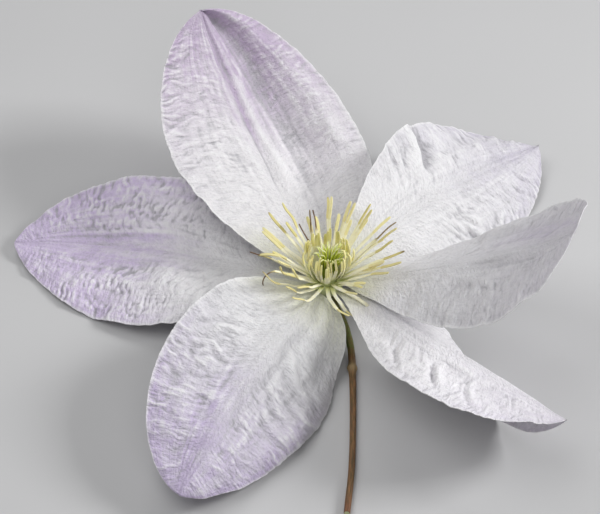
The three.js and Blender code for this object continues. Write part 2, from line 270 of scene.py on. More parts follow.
# The cushion from the stalk up and in to its top: radius and height.
CUSHION_PROFILE = [
    (1.5, -3.6), (3, -2.7), (4.2, -1.6), (CUSHION_RADIUS, -0.4),
    (CUSHION_RADIUS, CUSHION_SHOULDER), (3.3, 2.7), (1.6, 3.15), (0.5, CUSHION_TOP),
]
CUSHION_STEPS = 40
# The cut end from its middle to the bark: share of the radius, and how far it is sunk.
CUT_RINGS = [(0.30, 0.10), (0.62, 0.10), (0.80, 0.0), (0.94, -0.02)]
CUT_DEPTH = 0.10
# How much of each of those rings is pith.
PITH_SHARES = [1, 1, 0.7, 0.1]

# ---------------------------------------------------------------- helpers for shapes


def lerp(a, b, share):
    return a + (b - a) * share


def smooth(x, low, high):
    share = np.clip((x - low) / (high - low), 0, 1)
    return share * share * (3 - 2 * share)


def bump(x, centre, spread):
    return np.exp(-(((x - centre) / spread) ** 2))


def along(values, s):
    """The value at share s of a quantity given at root and tip, or at root, middle and tip."""
    if len(values) == 2:
        return lerp(values[0], values[1], s)
    root, middle, tip = values
    return root * (1 - s) * (1 - 2 * s) + middle * 4 * s * (1 - s) + tip * s * (2 * s - 1)


def lattice(x, y, seed):
    """A repeatable number from 0 to 1 for each whole-numbered place."""
    n = (x.astype(np.int64) * 374761393 + y.astype(np.int64) * 668265263 + seed * 974711)
    n = n & 0xFFFFFFFF
    n = ((n ^ (n >> 13)) * 1274126177) & 0xFFFFFFFF
    n = n ^ (n >> 16)
    return n / 0xFFFFFFFF


def rough(x, y, seed):
    """Smooth random relief, from about -1 to 1, with features one unit across."""
    x, y = np.broadcast_arrays(np.asarray(x, float), np.asarray(y, float))
    cell_x, cell_y = np.floor(x), np.floor(y)
    fx, fy = x - cell_x, y - cell_y
    total = 0
    for dx in (0, 1):
        for dy in (0, 1):
            turn = 2 * math.pi * lattice(cell_x + dx, cell_y + dy, seed)
            slope = np.cos(turn) * (fx - dx) + np.sin(turn) * (fy - dy)
            near_x = 1 - np.abs(fx - dx)
            near_y = 1 - np.abs(fy - dy)
            ease_x = near_x**3 * (near_x * (6 * near_x - 15) + 10)
            ease_y = near_y**3 * (near_y * (6 * near_y - 15) + 10)
            total = total + slope * ease_x * ease_y
    return total * 1.5


def spread_stream(seed):
    """A repeatable stream of numbers between -1 and 1."""
    modulus = 2147483647
    state = seed

    def draw():
        nonlocal state
        state = (state * 16807) % modulus
        return 2 * state / modulus - 1

    return draw


def unit(vectors):
    return vectors / np.linalg.norm(vectors, axis=-1, keepdims=True)


def grid_faces(rows, columns, first=0, wrap=False, flip=False):
    """Quads over a grid of points numbered row by row."""
    row, column = np.meshgrid(np.arange(rows - 1), np.arange(columns if wrap else columns - 1))
    row, column = row.ravel(), column.ravel()
    after = (column + 1) % columns
    quads = np.stack([
        row * columns + column, (row + 1) * columns + column,
        (row + 1) * columns + after, row * columns + after,
    ], 1) + first
    return (quads[:, ::-1] if flip else quads).tolist()


def rings_round(line, x, y, across, upward):
    """Rings of points round a line, each x along across and y along upward."""
    return (
        line[:, None, :]
        + x[..., None] * across[:, None, :]
        + y[..., None] * upward[:, None, :]
    )


def tube_faces(count, sides, first=0):
    """Faces of a tube of count rings, closed by fans to the two points that follow its rings."""
    faces = grid_faces(count, sides, first, wrap=True)
    start = first + count * sides
    last = start - sides
    for k in range(sides):
        after = (k + 1) % sides
        faces.append([start, first + k, first + after])
        faces.append([start + 1, last + after, last + k])
    return faces


def turns_round(sides):
    return np.linspace(0, 2 * math.pi, sides, endpoint=False)


def within_frame(points):
    """The points, with any that lie outside the frame's box laid just inside it.

    Where a sepal or the stalk rests, its skin lies flat along the surface.
    """
    low, high = ((np.array(corner) - AXIS) / MM for corner in CAD_BOX)
    return np.clip(points, low + BOX_MARGIN, high - BOX_MARGIN)


def set_down(name, data):
    made = bpy.data.objects.new(name, data)
    bpy.context.scene.collection.objects.link(made)
    return made


def grow(name, points, faces, values, material, nodes=()):
    """Makes a finished piece from points in millimetres, and sets it down on the frame."""
    mesh = bpy.data.meshes.new(name)
    mesh.from_pydata((points * MM + AXIS).tolist(), [], faces)
    for value_name, numbers in values.items():
        kind, key = ("FLOAT", "value") if numbers.ndim == 1 else ("FLOAT_VECTOR", "vector")
        layer = mesh.attributes.new(value_name, kind, "POINT")
        layer.data.foreach_set(key, numbers.astype(np.float32).ravel())
    mesh.shade_smooth()
    mesh.materials.append(material)
    piece = set_down(name, mesh)
    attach(piece, "root")
    if nodes:
        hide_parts(*nodes)


# ---------------------------------------------------------------- camera, floor and light

CAMERA_LENS = 100
CAMERA_CLIP_START = 0.02
CAMERA_DISTANCE = 476.19 * MM
CAMERA_ELEVATION = math.radians(45)
CAMERA_AIM_RIGHT = -7.714 * MM
CAMERA_AIM_UP = 7.4286 * MM
FLOOR_HALF_SIZE = 2.0
# Soft square lights: degrees round and up, metres away and across, and watts.
LIGHTS = {
    "key_light": dict(azimuth=8, elevation=31, distance=0.8, size=0.26, power=4.7),
    "left_fill": dict(azimuth=180, elevation=64, distance=0.5, size=0.4, power=1.0),
    "front_fill": dict(azimuth=-80, elevation=48, distance=0.9, size=0.6, power=1.55),
    "back_light": dict(azimuth=100, elevation=42, distance=0.9, size=0.3, power=1.35),
}
LIGHT_AIM = Vector((0, 0, 0.02))
STUDIO_AIR = (0.98, 0.985, 1.0, 1)
STUDIO_AIR_STRENGTH = 0.1


def set_camera():
    """A camera that looks down at the flower from -Y, aimed a little beside its axis."""
    right = Vector((1, 0, 0))
    back = Vector((0, -math.cos(CAMERA_ELEVATION), math.sin(CAMERA_ELEVATION)))
    up = back.cross(right)
    place = Vector(AXIS) + right * CAMERA_AIM_RIGHT + up * CAMERA_AIM_UP + back * CAMERA_DISTANCE
    lens = bpy.data.cameras.new("camera")
    lens.lens = CAMERA_LENS
    lens.clip_start = CAMERA_CLIP_START
    camera = set_down("camera", lens)
    camera.matrix_world = Matrix((
        (right.x, up.x, back.x, place.x),
        (right.y, up.y, back.y, place.y),
        (right.z, up.z, back.z, place.z),
        (0, 0, 0, 1),
    ))
    bpy.context.scene.camera = camera


def add_light(name, azimuth, elevation, distance, size, power):
    """A square soft light that faces the flower."""
    lamp = bpy.data.lights.new(name, "AREA")
    lamp.shape = "SQUARE"
    lamp.size = size
    lamp.energy = power
    azimuth, elevation = math.radians(azimuth), math.radians(elevation)
    towards = Vector((
        math.cos(elevation) * math.cos(azimuth),
        math.cos(elevation) * math.sin(azimuth),
        math.sin(elevation),
    ))
    light = set_down(name, lamp)
    light.location = LIGHT_AIM + towards * distance
    light.rotation_euler = towards.to_track_quat("Z", "Y").to_euler()


def set_studio():
    half = FLOOR_HALF_SIZE
    mesh = bpy.data.meshes.new("floor")
    corners = [(-half, -half, 0), (half, -half, 0), (half, half, 0), (-half, half, 0)]
    mesh.from_pydata(corners, [], [(0, 1, 2, 3)])
    mesh.materials.append(floor_finish())
    set_down("floor", mesh)
    for name, light in LIGHTS.items():
        add_light(name, **light)
    world = bpy.data.worlds.new("studio")
    world.use_nodes = True
    background = world.node_tree.nodes["Background"]
    background.inputs["Color"].default_value = STUDIO_AIR
    background.inputs["Strength"].default_value = STUDIO_AIR_STRENGTH
    bpy.context.scene.world = world
    bpy.context.scene.view_settings.view_transform = "Standard"


# ---------------------------------------------------------------- helpers for finishes


class Finish:
    """A small hand for wiring a node tree."""

    def __init__(self, tree):
        self.tree = tree

    def node(self, kind, settings=None, **inputs):
        made = self.tree.nodes.new(kind)
        for key, value in (settings or {}).items():
            setattr(made, key, value)
        for key, value in inputs.items():
            self.feed(made, key.replace("_", " "), value)
        return made

    def feed(self, made, socket, value):
        """Links a socket to the value, or sets it to a number, a vector or an opaque colour."""
        target = made.inputs[socket]
        if isinstance(value, bpy.types.NodeSocket):
            self.tree.links.new(value, target)
        else:
            target.default_value = (*value, 1) if target.type == "RGBA" else value

    def math(self, operation, a, b=0.0, clamp=False):
        made = self.node("ShaderNodeMath", {"operation": operation, "use_clamp": clamp})
        self.feed(made, 0, a)
        self.feed(made, 1, b)
        return made.outputs[0]

    def times(self, a, b):
        return self.math("MULTIPLY", a, b)

    def plus(self, a, b):
        return self.math("ADD", a, b)

    def less_than_one(self, value):
        """What the value leaves of 1."""
        return self.math("SUBTRACT", 1.0, value)

    def rise(self, value, low, high):
        """0 below low, 1 above high, and a smooth rise between them."""
        made = self.node(
            "ShaderNodeMapRange", {"interpolation_type": "SMOOTHSTEP"},
            Value=value, From_Min=low, From_Max=high,
        )
        return made.outputs["Result"]

    def fall(self, value, low, high):
        """1 below low, 0 above high, and a smooth fall between them."""
        return self.less_than_one(self.rise(value, low, high))

    def band(self, value, centre, spread):
        """1 at the centre, falling away to 0 over about twice the spread."""
        offset = self.math("DIVIDE", self.math("SUBTRACT", value, centre), spread)
        return self.math("EXPONENT", self.times(self.times(offset, offset), -1.0))

    def noise(self, place, scale, detail=3.0, roughness=0.6, distortion=0.0):
        made = self.node(
            "ShaderNodeTexNoise",
            Vector=place, Scale=scale, Detail=detail, Roughness=roughness, Distortion=distortion,
        )
        return made.outputs["Fac"]

    def streaks(self, aside, closeness, ahead, shortness, detail=3.0, roughness=0.6):
        """Noise drawn out along a piece: close together across it, and long along it."""
        place = self.node(
            "ShaderNodeCombineXYZ", X=self.times(aside, closeness), Y=self.times(ahead, shortness)
        )
        return self.noise(place.outputs[0], 1.0, detail, roughness)

    def stretch(self, place, x, y):
        made = self.node("ShaderNodeVectorMath", {"operation": "MULTIPLY"})
        self.feed(made, 0, place)
        self.feed(made, 1, (x, y, 1.0))
        return made.outputs[0]

    def mix(self, share, a, b):
        """Colour a where share is 0, b where it is 1."""
        made = self.node("ShaderNodeMix", {"data_type": "RGBA", "clamp_factor": True})
        self.feed(made, 0, share)
        self.feed(made, 6, a)
        self.feed(made, 7, b)
        return made.outputs[2]

    def own(self, name, output="Vector"):
        """The piece's own numbers under that name: a place, or one number with output Fac."""
        return self.node("ShaderNodeAttribute", {"attribute_name": name}).outputs[output]

    def own_three(self, name):
        """The piece's own three numbers under that name, one by one."""
        return self.node("ShaderNodeSeparateXYZ", Vector=self.own(name)).outputs

    def group(self, group, **inputs):
        """What a node group gives out for these inputs."""
        return self.node("ShaderNodeGroup", {"node_tree": group}, **inputs).outputs


def new_group(name, inputs, outputs):
    """An empty node group with named sockets, the hand to wire it, and what it takes and gives."""
    group = bpy.data.node_groups.new(name, "ShaderNodeTree")
    kinds = {float: "NodeSocketFloat", tuple: "NodeSocketColor", str: "NodeSocketVector"}
    for socket_name, example in inputs.items():
        socket = group.interface.new_socket(
            name=socket_name, in_out="INPUT", socket_type=kinds[type(example)]
        )
        if isinstance(example, float):
            socket.default_value = example
        elif isinstance(example, tuple):
            socket.default_value = (*example, 1)
    for socket_name, kind in outputs.items():
        group.interface.new_socket(name=socket_name, in_out="OUTPUT", socket_type=kinds[kind])
    finish = Finish(group)
    return group, finish, finish.node("NodeGroupInput").outputs, finish.node("NodeGroupOutput")


class Skin(Finish):
    """A finish for a whole piece, with a Principled shader at its end."""

    def __init__(self, name):
        self.material = bpy.data.materials.new(name)
        self.material.use_nodes = True
        super().__init__(self.material.node_tree)
        self.shader = self.tree.nodes["Principled BSDF"]

    def look(self, colour, roughness, **steady):
        """Feeds the colour and the roughness, and sets what is the same all over."""
        self.feed(self.shader, "Base Color", colour)
        self.feed(self.shader, "Roughness", roughness)
        for key, value in steady.items():
            self.shader.inputs[key.replace("_", " ")].default_value = value

    def relief(self, height, strength, distance):
        bumps = self.node("ShaderNodeBump", Strength=strength, Distance=distance, Height=height)
        self.feed(self.shader, "Normal", bumps.outputs["Normal"])


# ---------------------------------------------------------------- finishes

PETAL_WHITE = (0.835, 0.83, 0.84)
PETAL_LILAC = (0.62, 0.56, 0.78)
PETAL_CREAM = (0.80, 0.82, 0.55)
PETAL_GRAIN_WHITE = (1.0, 1.0, 1.0)
# Painted shade for furrows, and painted highlights for crests and the rim.
FURROW_SHADE = (0.42, 0.41, 0.44)
CREST_PAINTED_HIGHLIGHT = (0.95, 0.945, 0.955)
RIM_PAINTED_HIGHLIGHT = (0.97, 0.965, 0.97)
UNDERSIDE_LILAC = (0.74, 0.71, 0.80)
UNDERSIDE_RIB_GREEN = (0.62, 0.66, 0.42)

FILAMENT_GREEN = (0.66, 0.72, 0.30)
FILAMENT_CREAM = (0.96, 0.94, 0.76)
FILAMENT_YELLOW = (0.94, 0.88, 0.55)
POLLEN_DULL = (0.70, 0.63, 0.26)
POLLEN_WARM = (0.92, 0.85, 0.48)
POLLEN_FRESH = (0.98, 0.93, 0.46)
POLLEN_RIM = (0.88, 0.74, 0.46)
STAMEN_BLOTCH = (0.68, 0.56, 0.22)
DRY_DARK = (0.06, 0.028, 0.012)
DRY_BROWN = (0.21, 0.10, 0.04)

STYLE_GREEN = (0.17, 0.24, 0.014)
STYLE_YELLOW = (0.80, 0.88, 0.11)
STYLE_TIP = (0.93, 0.95, 0.66)
STYLE_BLOTCH = (0.42, 0.45, 0.05)

BARK_DARK = (0.095, 0.04, 0.018)
BARK_BROWN = (0.29, 0.12, 0.05)
BARK_GREEN = (0.13, 0.16, 0.03)
NODE_TAN = (0.42, 0.30, 0.15)
CUSHION_GREEN = (0.72, 0.78, 0.40)
PITH_PALE = (0.62, 0.66, 0.38)

PAPER_DARK = (0.55, 0.55, 0.555)
PAPER_LIGHT = (0.59, 0.59, 0.595)


def mottle_group():
    """Cloudy patches, about 1 / Scale wide, and fine grain, shared by all of the flower."""
    group, finish, taken, given = new_group(
        "mottle",
        {"Place": "", "Scale": 1.0, "Grain Scale": 10.0},
        {"Cloud": float, "Grain": float},
    )
    cloud = finish.noise(taken["Place"], taken["Scale"], 3.0, 0.55, 0.3)
    finish.feed(given, "Cloud", finish.rise(cloud, 0.3, 0.7))
    finish.feed(given, "Grain", finish.noise(taken["Place"], taken["Grain Scale"], 2.0))
    return group


def lilac_mask(finish, taken, cloud, streaks):
    """Where the skin is lilac: tip, edges, the whole outer blade and bars, all of it uneven."""
    share = taken["Along"]
    side = finish.math("ABSOLUTE", taken["Across"])
    tip = finish.times(finish.rise(share, 0.5, 1.02), taken["Tip Lilac"])
    edge = finish.times(finish.rise(side, 0.55, 1.0), finish.rise(share, 0.2, 0.6))
    edge = finish.times(edge, taken["Edge Lilac"])
    body = finish.times(finish.rise(share, 0.25, 0.7), taken["All Lilac"])
    wanted = finish.plus(finish.plus(tip, edge), finish.plus(body, taken["Bars"]))
    uneven = finish.plus(finish.times(streaks, 0.4), finish.plus(finish.times(cloud, 0.5), 0.55))
    return finish.math("MULTIPLY", wanted, uneven, clamp=True)


def petal_tint_group(mottle):
    """White petal skin with lilac towards the tip and edges and cream at the root, with painted
    shade in furrows and painted highlights on crests and rim.
    """
    group, finish, taken, given = new_group(
        "petal_tint",
        {
            "Across": 0.0, "Along": 0.0, "Blade": "", "Bars": 0.0, "Hollow": 0.5, "Crinkle": 0.5,
            "All Lilac": 0.1, "Tip Lilac": 0.4, "Edge Lilac": 0.2,
            "White": PETAL_WHITE, "Lilac": PETAL_LILAC, "Cream": PETAL_CREAM,
        },
        {"Colour": tuple},
    )
    mottled = finish.group(mottle, Place=taken["Blade"], Scale=0.22, Grain_Scale=2.2)
    # Streaks run with the veins, so they are long along the blade and fine across it.
    streaks = finish.rise(finish.streaks(taken["Across"], 16.0, taken["Along"], 2.6), 0.32, 0.68)
    mask = lilac_mask(finish, taken, mottled["Cloud"], streaks)
    skin = finish.mix(mask, taken["White"], taken["Lilac"])
    root = finish.times(
        finish.fall(taken["Along"], 0.02, 0.24), finish.plus(finish.times(streaks, 0.3), 0.4)
    )
    skin = finish.mix(root, skin, taken["Cream"])
    grain = finish.times(finish.rise(mottled["Grain"], 0.2, 0.8), 0.10)
    skin = finish.mix(grain, skin, PETAL_GRAIN_WHITE)
    # Painted shade darkens hollows and the furrows of the crinkles, and painted highlights lighten
    # the crests.
    painted_furrow_shade = finish.plus(
        finish.times(finish.rise(taken["Hollow"], 0.45, 1.0), 0.7),
        finish.times(finish.fall(taken["Crinkle"], 0.38, 0.56), 0.26),
    )
    painted_crest_highlight = finish.plus(
        finish.fall(taken["Hollow"], 0.0, 0.5),
        finish.times(finish.rise(taken["Crinkle"], 0.56, 0.72), 0.5),
    )
    skin = finish.mix(painted_furrow_shade, skin, FURROW_SHADE)
    skin = finish.mix(finish.times(painted_crest_highlight, 0.6), skin, CREST_PAINTED_HIGHLIGHT)
    # A thin painted highlight lightens the very edge, for light shining through the thin margin.
    rim = finish.rise(finish.math("ABSOLUTE", taken["Across"]), 0.955, 1.0)
    finish.feed(given, "Colour", finish.mix(finish.times(rim, 0.6), skin, RIM_PAINTED_HIGHLIGHT))
    return group


def petal_crinkle_group():
    """Fine crinkles of the petal skin: lines along the ripples, cells, and hair-fine veins."""
    group, finish, taken, given = new_group(
        "petal_crinkle",
        {"Across": 0.0, "Along": 0.0, "Blade": "", "Flow": ""},
        {"Height": float},
    )
    lines = finish.noise(finish.stretch(taken["Flow"], 1.3, 0.4), 1.0, distortion=0.6)
    cells = finish.noise(taken["Blade"], 1.3, distortion=0.4)
    veins = finish.streaks(taken["Across"], 30.0, taken["Along"], 5.0, 2.0, 0.5)
    height = finish.plus(finish.times(lines, 0.5), finish.times(cells, 0.35))
    finish.feed(given, "Height", finish.plus(height, finish.times(veins, 0.15)))
    return group


def petal_finish(name, sepal, tint, crinkle):
    """One sepal's skin: pale above with its own lilac and its painted light and shade, duller below
    and green along its ribs.
    """
    skin = Skin(name)
    across, share, under = skin.own_three("place")
    blade = skin.own("blade")
    height = skin.group(
        crinkle, Across=across, Along=share, Blade=blade, Flow=skin.own("flow")
    )["Height"]
    # The crinkles' height also sets the painted shade and painted highlights in the colour.
    colour = skin.group(
        tint, Across=across, Along=share, Blade=blade, Crinkle=height,
        Bars=skin.own("bars", "Fac"), Hollow=skin.own("hollow", "Fac"),
        All_Lilac=sepal["lilac"], Tip_Lilac=sepal["tip_lilac"], Edge_Lilac=sepal["edge_lilac"],
        # Each sepal's white and lilac are set lighter or darker as its painted light and shade.
        White=sepal["white_and_painted_shade"], Lilac=sepal["lilac_and_painted_shade"], Cream=PETAL_CREAM,
    )["Colour"]
    side_ribs = skin.plus(
        skin.band(across, SIDE_RIB_PLACE, 0.035), skin.band(across, -SIDE_RIB_PLACE, 0.035)
    )
    ribs = skin.times(skin.plus(skin.band(across, 0.0, 0.05), side_ribs), under)
    towards_root = skin.plus(skin.times(skin.less_than_one(share), 0.7), 0.15)
    ribs = skin.math("MULTIPLY", ribs, towards_root, clamp=True)
    colour = skin.mix(skin.times(under, 0.25), colour, UNDERSIDE_LILAC)
    colour = skin.mix(ribs, colour, UNDERSIDE_RIB_GREEN)
    skin.look(
        colour, skin.plus(skin.times(skin.noise(blade, 0.8), 0.25), 0.3),
        Specular_IOR_Level=0.5, Subsurface_Weight=0.2, Subsurface_Radius=(1.0, 0.95, 0.97),
        Subsurface_Scale=0.0004, Sheen_Weight=0.08, Sheen_Roughness=0.4,
    )
    skin.relief(height, 1.0, 0.0011)
    return skin.material


def stamen_finish(mottle):
    """Creamy filaments that turn green at the foot, and dull yellow anthers that dry to brown."""
    skin = Skin("stamen_skin")
    share, anther, rim = skin.own_three("place")
    dry, warmth, green = skin.own_three("mood")
    cloud, grain = skin.group(mottle, Place=skin.own("spot"), Scale=0.9, Grain_Scale=5.0)
    filament = skin.mix(skin.rise(share, 0.0, 0.3), FILAMENT_GREEN, FILAMENT_CREAM)
    filament = skin.mix(skin.times(skin.rise(share, 0.35, 0.62), 0.5), filament, FILAMENT_YELLOW)
    pollen = skin.mix(warmth, POLLEN_DULL, POLLEN_WARM)
    pollen = skin.mix(green, pollen, POLLEN_FRESH)
    pollen = skin.mix(skin.times(skin.rise(rim, 0.72, 1.0), 0.4), pollen, POLLEN_RIM)
    colour = skin.mix(anther, filament, pollen)
    colour = skin.mix(skin.times(cloud, 0.2), colour, STAMEN_BLOTCH)
    dried = skin.math("MULTIPLY", dry, skin.plus(skin.times(cloud, 0.3), 0.9), clamp=True)
    colour = skin.mix(dried, colour, skin.mix(grain, DRY_DARK, DRY_BROWN))
    skin.look(
        colour, skin.plus(skin.times(grain, 0.3), 0.38),
        Subsurface_Weight=0.4, Subsurface_Radius=(1.0, 0.95, 0.6), Subsurface_Scale=0.0005,
    )
    skin.relief(grain, 0.5, 0.0001)
    return skin.material


def style_finish(mottle):
    """Dark green styles that turn yellow-green and then pale towards the tip."""
    skin = Skin("style_skin")
    share, pale, _ = skin.own_three("place")
    cloud, grain = skin.group(mottle, Place=skin.own("spot"), Scale=1.4, Grain_Scale=7.0)
    colour = skin.mix(skin.rise(share, 0.35, 0.9), STYLE_GREEN, STYLE_YELLOW)
    colour = skin.mix(skin.times(skin.rise(share, 0.74, 0.95), pale), colour, STYLE_TIP)
    colour = skin.mix(skin.times(cloud, 0.22), colour, STYLE_BLOTCH)
    skin.look(
        colour, skin.plus(skin.times(grain, 0.3), 0.35),
        Subsurface_Weight=0.2, Subsurface_Radius=(0.8, 1.0, 0.4), Subsurface_Scale=0.0005,
    )
    skin.relief(grain, 0.5, 0.00008)
    return skin.material


def stalk_finish(mottle):
    """Ribbed brown-green bark, greener near the flower, with a pale pith at the cut."""
    skin = Skin("stalk_bark")
    share, around, pith = skin.own_three("place")
    green, tan, cushion = skin.own_three("mood")
    cloud, grain = skin.group(mottle, Place=skin.own("spot"), Scale=0.7, Grain_Scale=4.5)
    streaks = skin.rise(skin.streaks(around, 9.0, share, 16.0), 0.3, 0.7)
    bark = skin.mix(streaks, BARK_DARK, BARK_BROWN)
    bark = skin.mix(skin.times(green, skin.plus(skin.times(cloud, 0.5), 0.5)), bark, BARK_GREEN)
    bark = skin.mix(tan, bark, NODE_TAN)
    bark = skin.mix(cushion, bark, CUSHION_GREEN)
    bark = skin.mix(pith, bark, PITH_PALE)
    skin.look(bark, skin.plus(skin.times(grain, 0.35), 0.42))
    skin.relief(skin.plus(grain, skin.times(streaks, 0.8)), 0.6, 0.0002)
    return skin.material


def floor_finish():
    skin = Skin("floor_paper")
    cloud = skin.noise(skin.node("ShaderNodeTexCoord").outputs["Object"], 9.0, roughness=0.5)
    roughness = skin.plus(skin.times(cloud, 0.1), 0.82)
    skin.look(skin.mix(cloud, PAPER_DARK, PAPER_LIGHT), roughness, Specular_IOR_Level=0.15)
    return skin.material


# ---------------------------------------------------------------- growing the sepals


def half_width(sepal, s):
    """Half the sepal's width at share s: a smooth blade on a narrow root."""
    power = sepal["taper"] * sepal["widest"] / (1 - sepal["widest"])

    def blade(x):
        return np.power(x, power) * np.power(1 - x, sepal["taper"])

    root = SEPAL_ROOT_SHARE * np.power(1 - s, 3)
    share = blade(s) / blade(sepal["widest"]) * (1 - root) + root
    point = SEPAL_TIP_HALF_WIDTH * (1 - smooth(s, 0.985, 1.0)) + 0.05
    return np.maximum(sepal["width"] / 2 * share, point)


def sepal_spine(sepal, s):
    """The midrib's points and its directions: ahead, left and up."""
    pitch = np.radians(along(sepal["pitch"], s))
    heading = np.radians(sepal["azimuth"] + along(sepal["sweep"], s))
    level = np.cos(pitch)
    ahead = np.stack([level * np.cos(heading), level * np.sin(heading), np.sin(pitch)], -1)
    level_left = np.stack([-np.sin(heading), np.cos(heading), np.zeros_like(s)], -1)
    level_up = np.cross(ahead, level_left)
    roll = np.radians(along(sepal["roll"], s))[:, None]
    left = level_left * np.cos(roll) + level_up * np.sin(roll)
    up = np.cross(ahead, left)
    azimuth = math.radians(sepal["azimuth"])
    points = np.zeros((len(s), 3))
    points[0] = (
        SEPAL_ROOT_RADIUS * math.cos(azimuth),
        SEPAL_ROOT_RADIUS * math.sin(azimuth),
        sepal["rise"],
    )
    strides = (ahead[1:] + ahead[:-1]) / 2 * (np.diff(s) * sepal["length"])[:, None]
    points[1:] = points[0] + np.cumsum(strides, 0)
    return points, ahead, left, up


def ripple_flow(sepal, s, t, half):
    """Millimetres across and along the ripples, which leave the midrib steeply and level out."""
    ahead = s * sepal["length"]
    aside = np.abs(t) * half
    climb = lerp(*RIPPLE_CLIMB, s)
    return ahead - climb * (1 - np.exp(-aside / RIPPLE_BEND)), aside + 0.5 * ahead


def patches(x, y, seed):
    """How far each place shares in a kind of relief: some patches fully, some hardly."""
    return 0.12 + 0.88 * smooth(rough(x, y, seed), -0.3, 0.45)


def crest(x, y, seed):
    """Random relief with sharp crests and rounded hollows."""
    return 0.7 - 2.4 * np.abs(rough(x, y, seed))


def blurred(field, stride=1):
    """The field averaged over the cells round each, out to three strides."""
    weights = np.array([1, 2, 3, 4, 3, 2, 1]) / 16
    reach = len(weights) // 2 * stride
    for axis in (0, 1):
        size = field.shape[axis]
        padded = np.pad(field, [(reach, reach) if k == axis else (0, 0) for k in (0, 1)], "edge")
        field = sum(
            weight * np.take(padded, np.arange(size) + k * stride, axis)
            for k, weight in enumerate(weights)
        )
    return field


def hollowness(fine, height):
    """0 on a crest, 0.5 on level skin and 1 in a hollow: where painted highlights and painted shade
    go.
    """
    close = (blurred(blurred(fine)) - fine) / (2 * HOLLOW_DEPTH)
    wide = blurred(blurred(height, WIDE_HOLLOW_STRIDE), WIDE_HOLLOW_STRIDE) - height
    return np.clip(0.5 + close + wide / (2 * WIDE_HOLLOW_DEPTH), 0, 1)


# Layers of relief that run with the ripples: rise, width and length of a ripple in millimetres,
# how far it wanders, and the seed. A layer that comes in patches has their length, width and seed.
RIPPLES = [
    dict(rise=0.28, width=0.7, length=2.8, wander=2, seed=2, patch=(5, 4, 22)),
    dict(rise=0.55, width=1.3, length=4.5, wander=1, seed=1, patch=(7, 5, 3)),
    dict(rise=0.4, width=2.3, length=8, wander=0.45, seed=14, patch=(11, 8, 19), shape=crest),
    dict(rise=1.1, width=4.6, length=9, wander=0.6, seed=23),
]
PUCKERS = [
    dict(rise=1.1, width=1.1, length=2.1, wander=1, seed=4),
    dict(rise=0.6, width=2.1, length=3.2, wander=0.5, seed=5),
]
RIPPLE_STRENGTH = 0.42
PLEAT_STRENGTH = 0.34
SWELL_STRENGTH = 0.8
WAVE_STRENGTH = 0.8
# The ripples of the two halves are this far apart in the noise, so they don't mirror each other.
OTHER_HALF = 200


def layered(layers, flow, warp, ahead, aside, seed):
    """Layers of relief added up, in millimetres."""
    across, lengthways = flow
    total = 0
    for layer in layers:
        shape = layer.get("shape", rough)
        field = layer["rise"] * shape(
            across / layer["width"] + layer["wander"] * warp,
            lengthways / layer["length"], seed + layer["seed"],
        )
        if "patch" in layer:
            length, width, patch_seed = layer["patch"]
            field = field * patches(ahead / length, aside / width, seed + patch_seed)
        total = total + field
    return total


def fine_relief(sepal, s, t, half, seed):
    """Ripples, puckers and veins of the skin, in millimetres."""
    ahead = s * sepal["length"]
    aside = t * half
    side = np.abs(t)
    across, lengthways = ripple_flow(sepal, s, t, half)
    flow = across, lengthways + OTHER_HALF * (t > 0)
    warp = 1.5 * rough(ahead / 11, aside / 9, seed) + 0.6 * rough(ahead / 4, aside / 4, seed + 18)
    leftness = smooth(t, -0.2, 0.2)
    ripple = layered(RIPPLES, flow, warp, ahead, aside, seed)
    strength = RIPPLE_STRENGTH * lerp(*sepal["ripple"], leftness)
    height = strength * ripple * smooth(side, 0.03, 0.3)
    pucker = layered(PUCKERS, flow, warp, ahead, aside, seed) * smooth(s, 0.25, 0.5)
    pucker = pucker * smooth(side, 0.1, 0.4) * (1 - 0.6 * smooth(s, 0.78, 0.95))
    pucker = pucker * patches(ahead / 9, aside / 6, seed + 15)
    height = height + RIPPLE_STRENGTH * sepal["quilt"] * pucker
    # Towards the tip the edges gather into short pleats.
    pleats = rough(ahead / 1.3 + warp, aside / 5, seed + 20) * smooth(side, 0.55, 0.9)
    strength = PLEAT_STRENGTH * lerp(*sepal["pleat"], leftness)
    height = height + strength * pleats * smooth(s, 0.3, 0.8)
    # Ribs and finer parallel veins follow the blade's outline.
    wander = 0.02 * rough(s * 5, 0 * t, seed + 8) + 0.012 * rough(s * 16, 0 * t, seed + 16)
    ribs = 0
    for place in (-0.30, 0, 0.30):
        centre = place * (1 - 0.35 * s) + wander
        ribs = ribs + bump(t, centre, 0.03) - 0.6 * bump(t, centre, 0.08)
    veins = rough(t * 15 + 40 * wander, s * 4, seed + 9)
    veins = veins + 0.5 * rough(t * 31 + 60 * wander, s * 6, seed + 17)
    rib_fade = smooth(s, 0.08, 0.25) * smooth(half, 4, 15)
    return height + sepal["rib"] * rib_fade * (0.3 * ribs + 0.2 * veins * (1 - 0.8 * side))


def crease_relief(crease, sepal, s, ahead, aside, half):
    """One bowed crease with a faint roll beside it, in millimetres."""
    share, across, length, width, angle, depth = crease
    turn = math.radians(angle) * (1 if across > 0 else -1)
    dy = ahead - share * sepal["length"]
    dx = aside - across * np.interp(share, s.ravel(), half.ravel())
    with_crease = dy * math.cos(turn) + dx * math.sin(turn)
    off_crease = -dy * math.sin(turn) + dx * math.cos(turn)
    bow = off_crease - 0.03 * with_crease**2
    fold = bump(bow, 0, width) - 0.5 * bump(bow, 1.8 * width, 1.3 * width)
    return depth * bump(with_crease, 0, length / 2) * fold


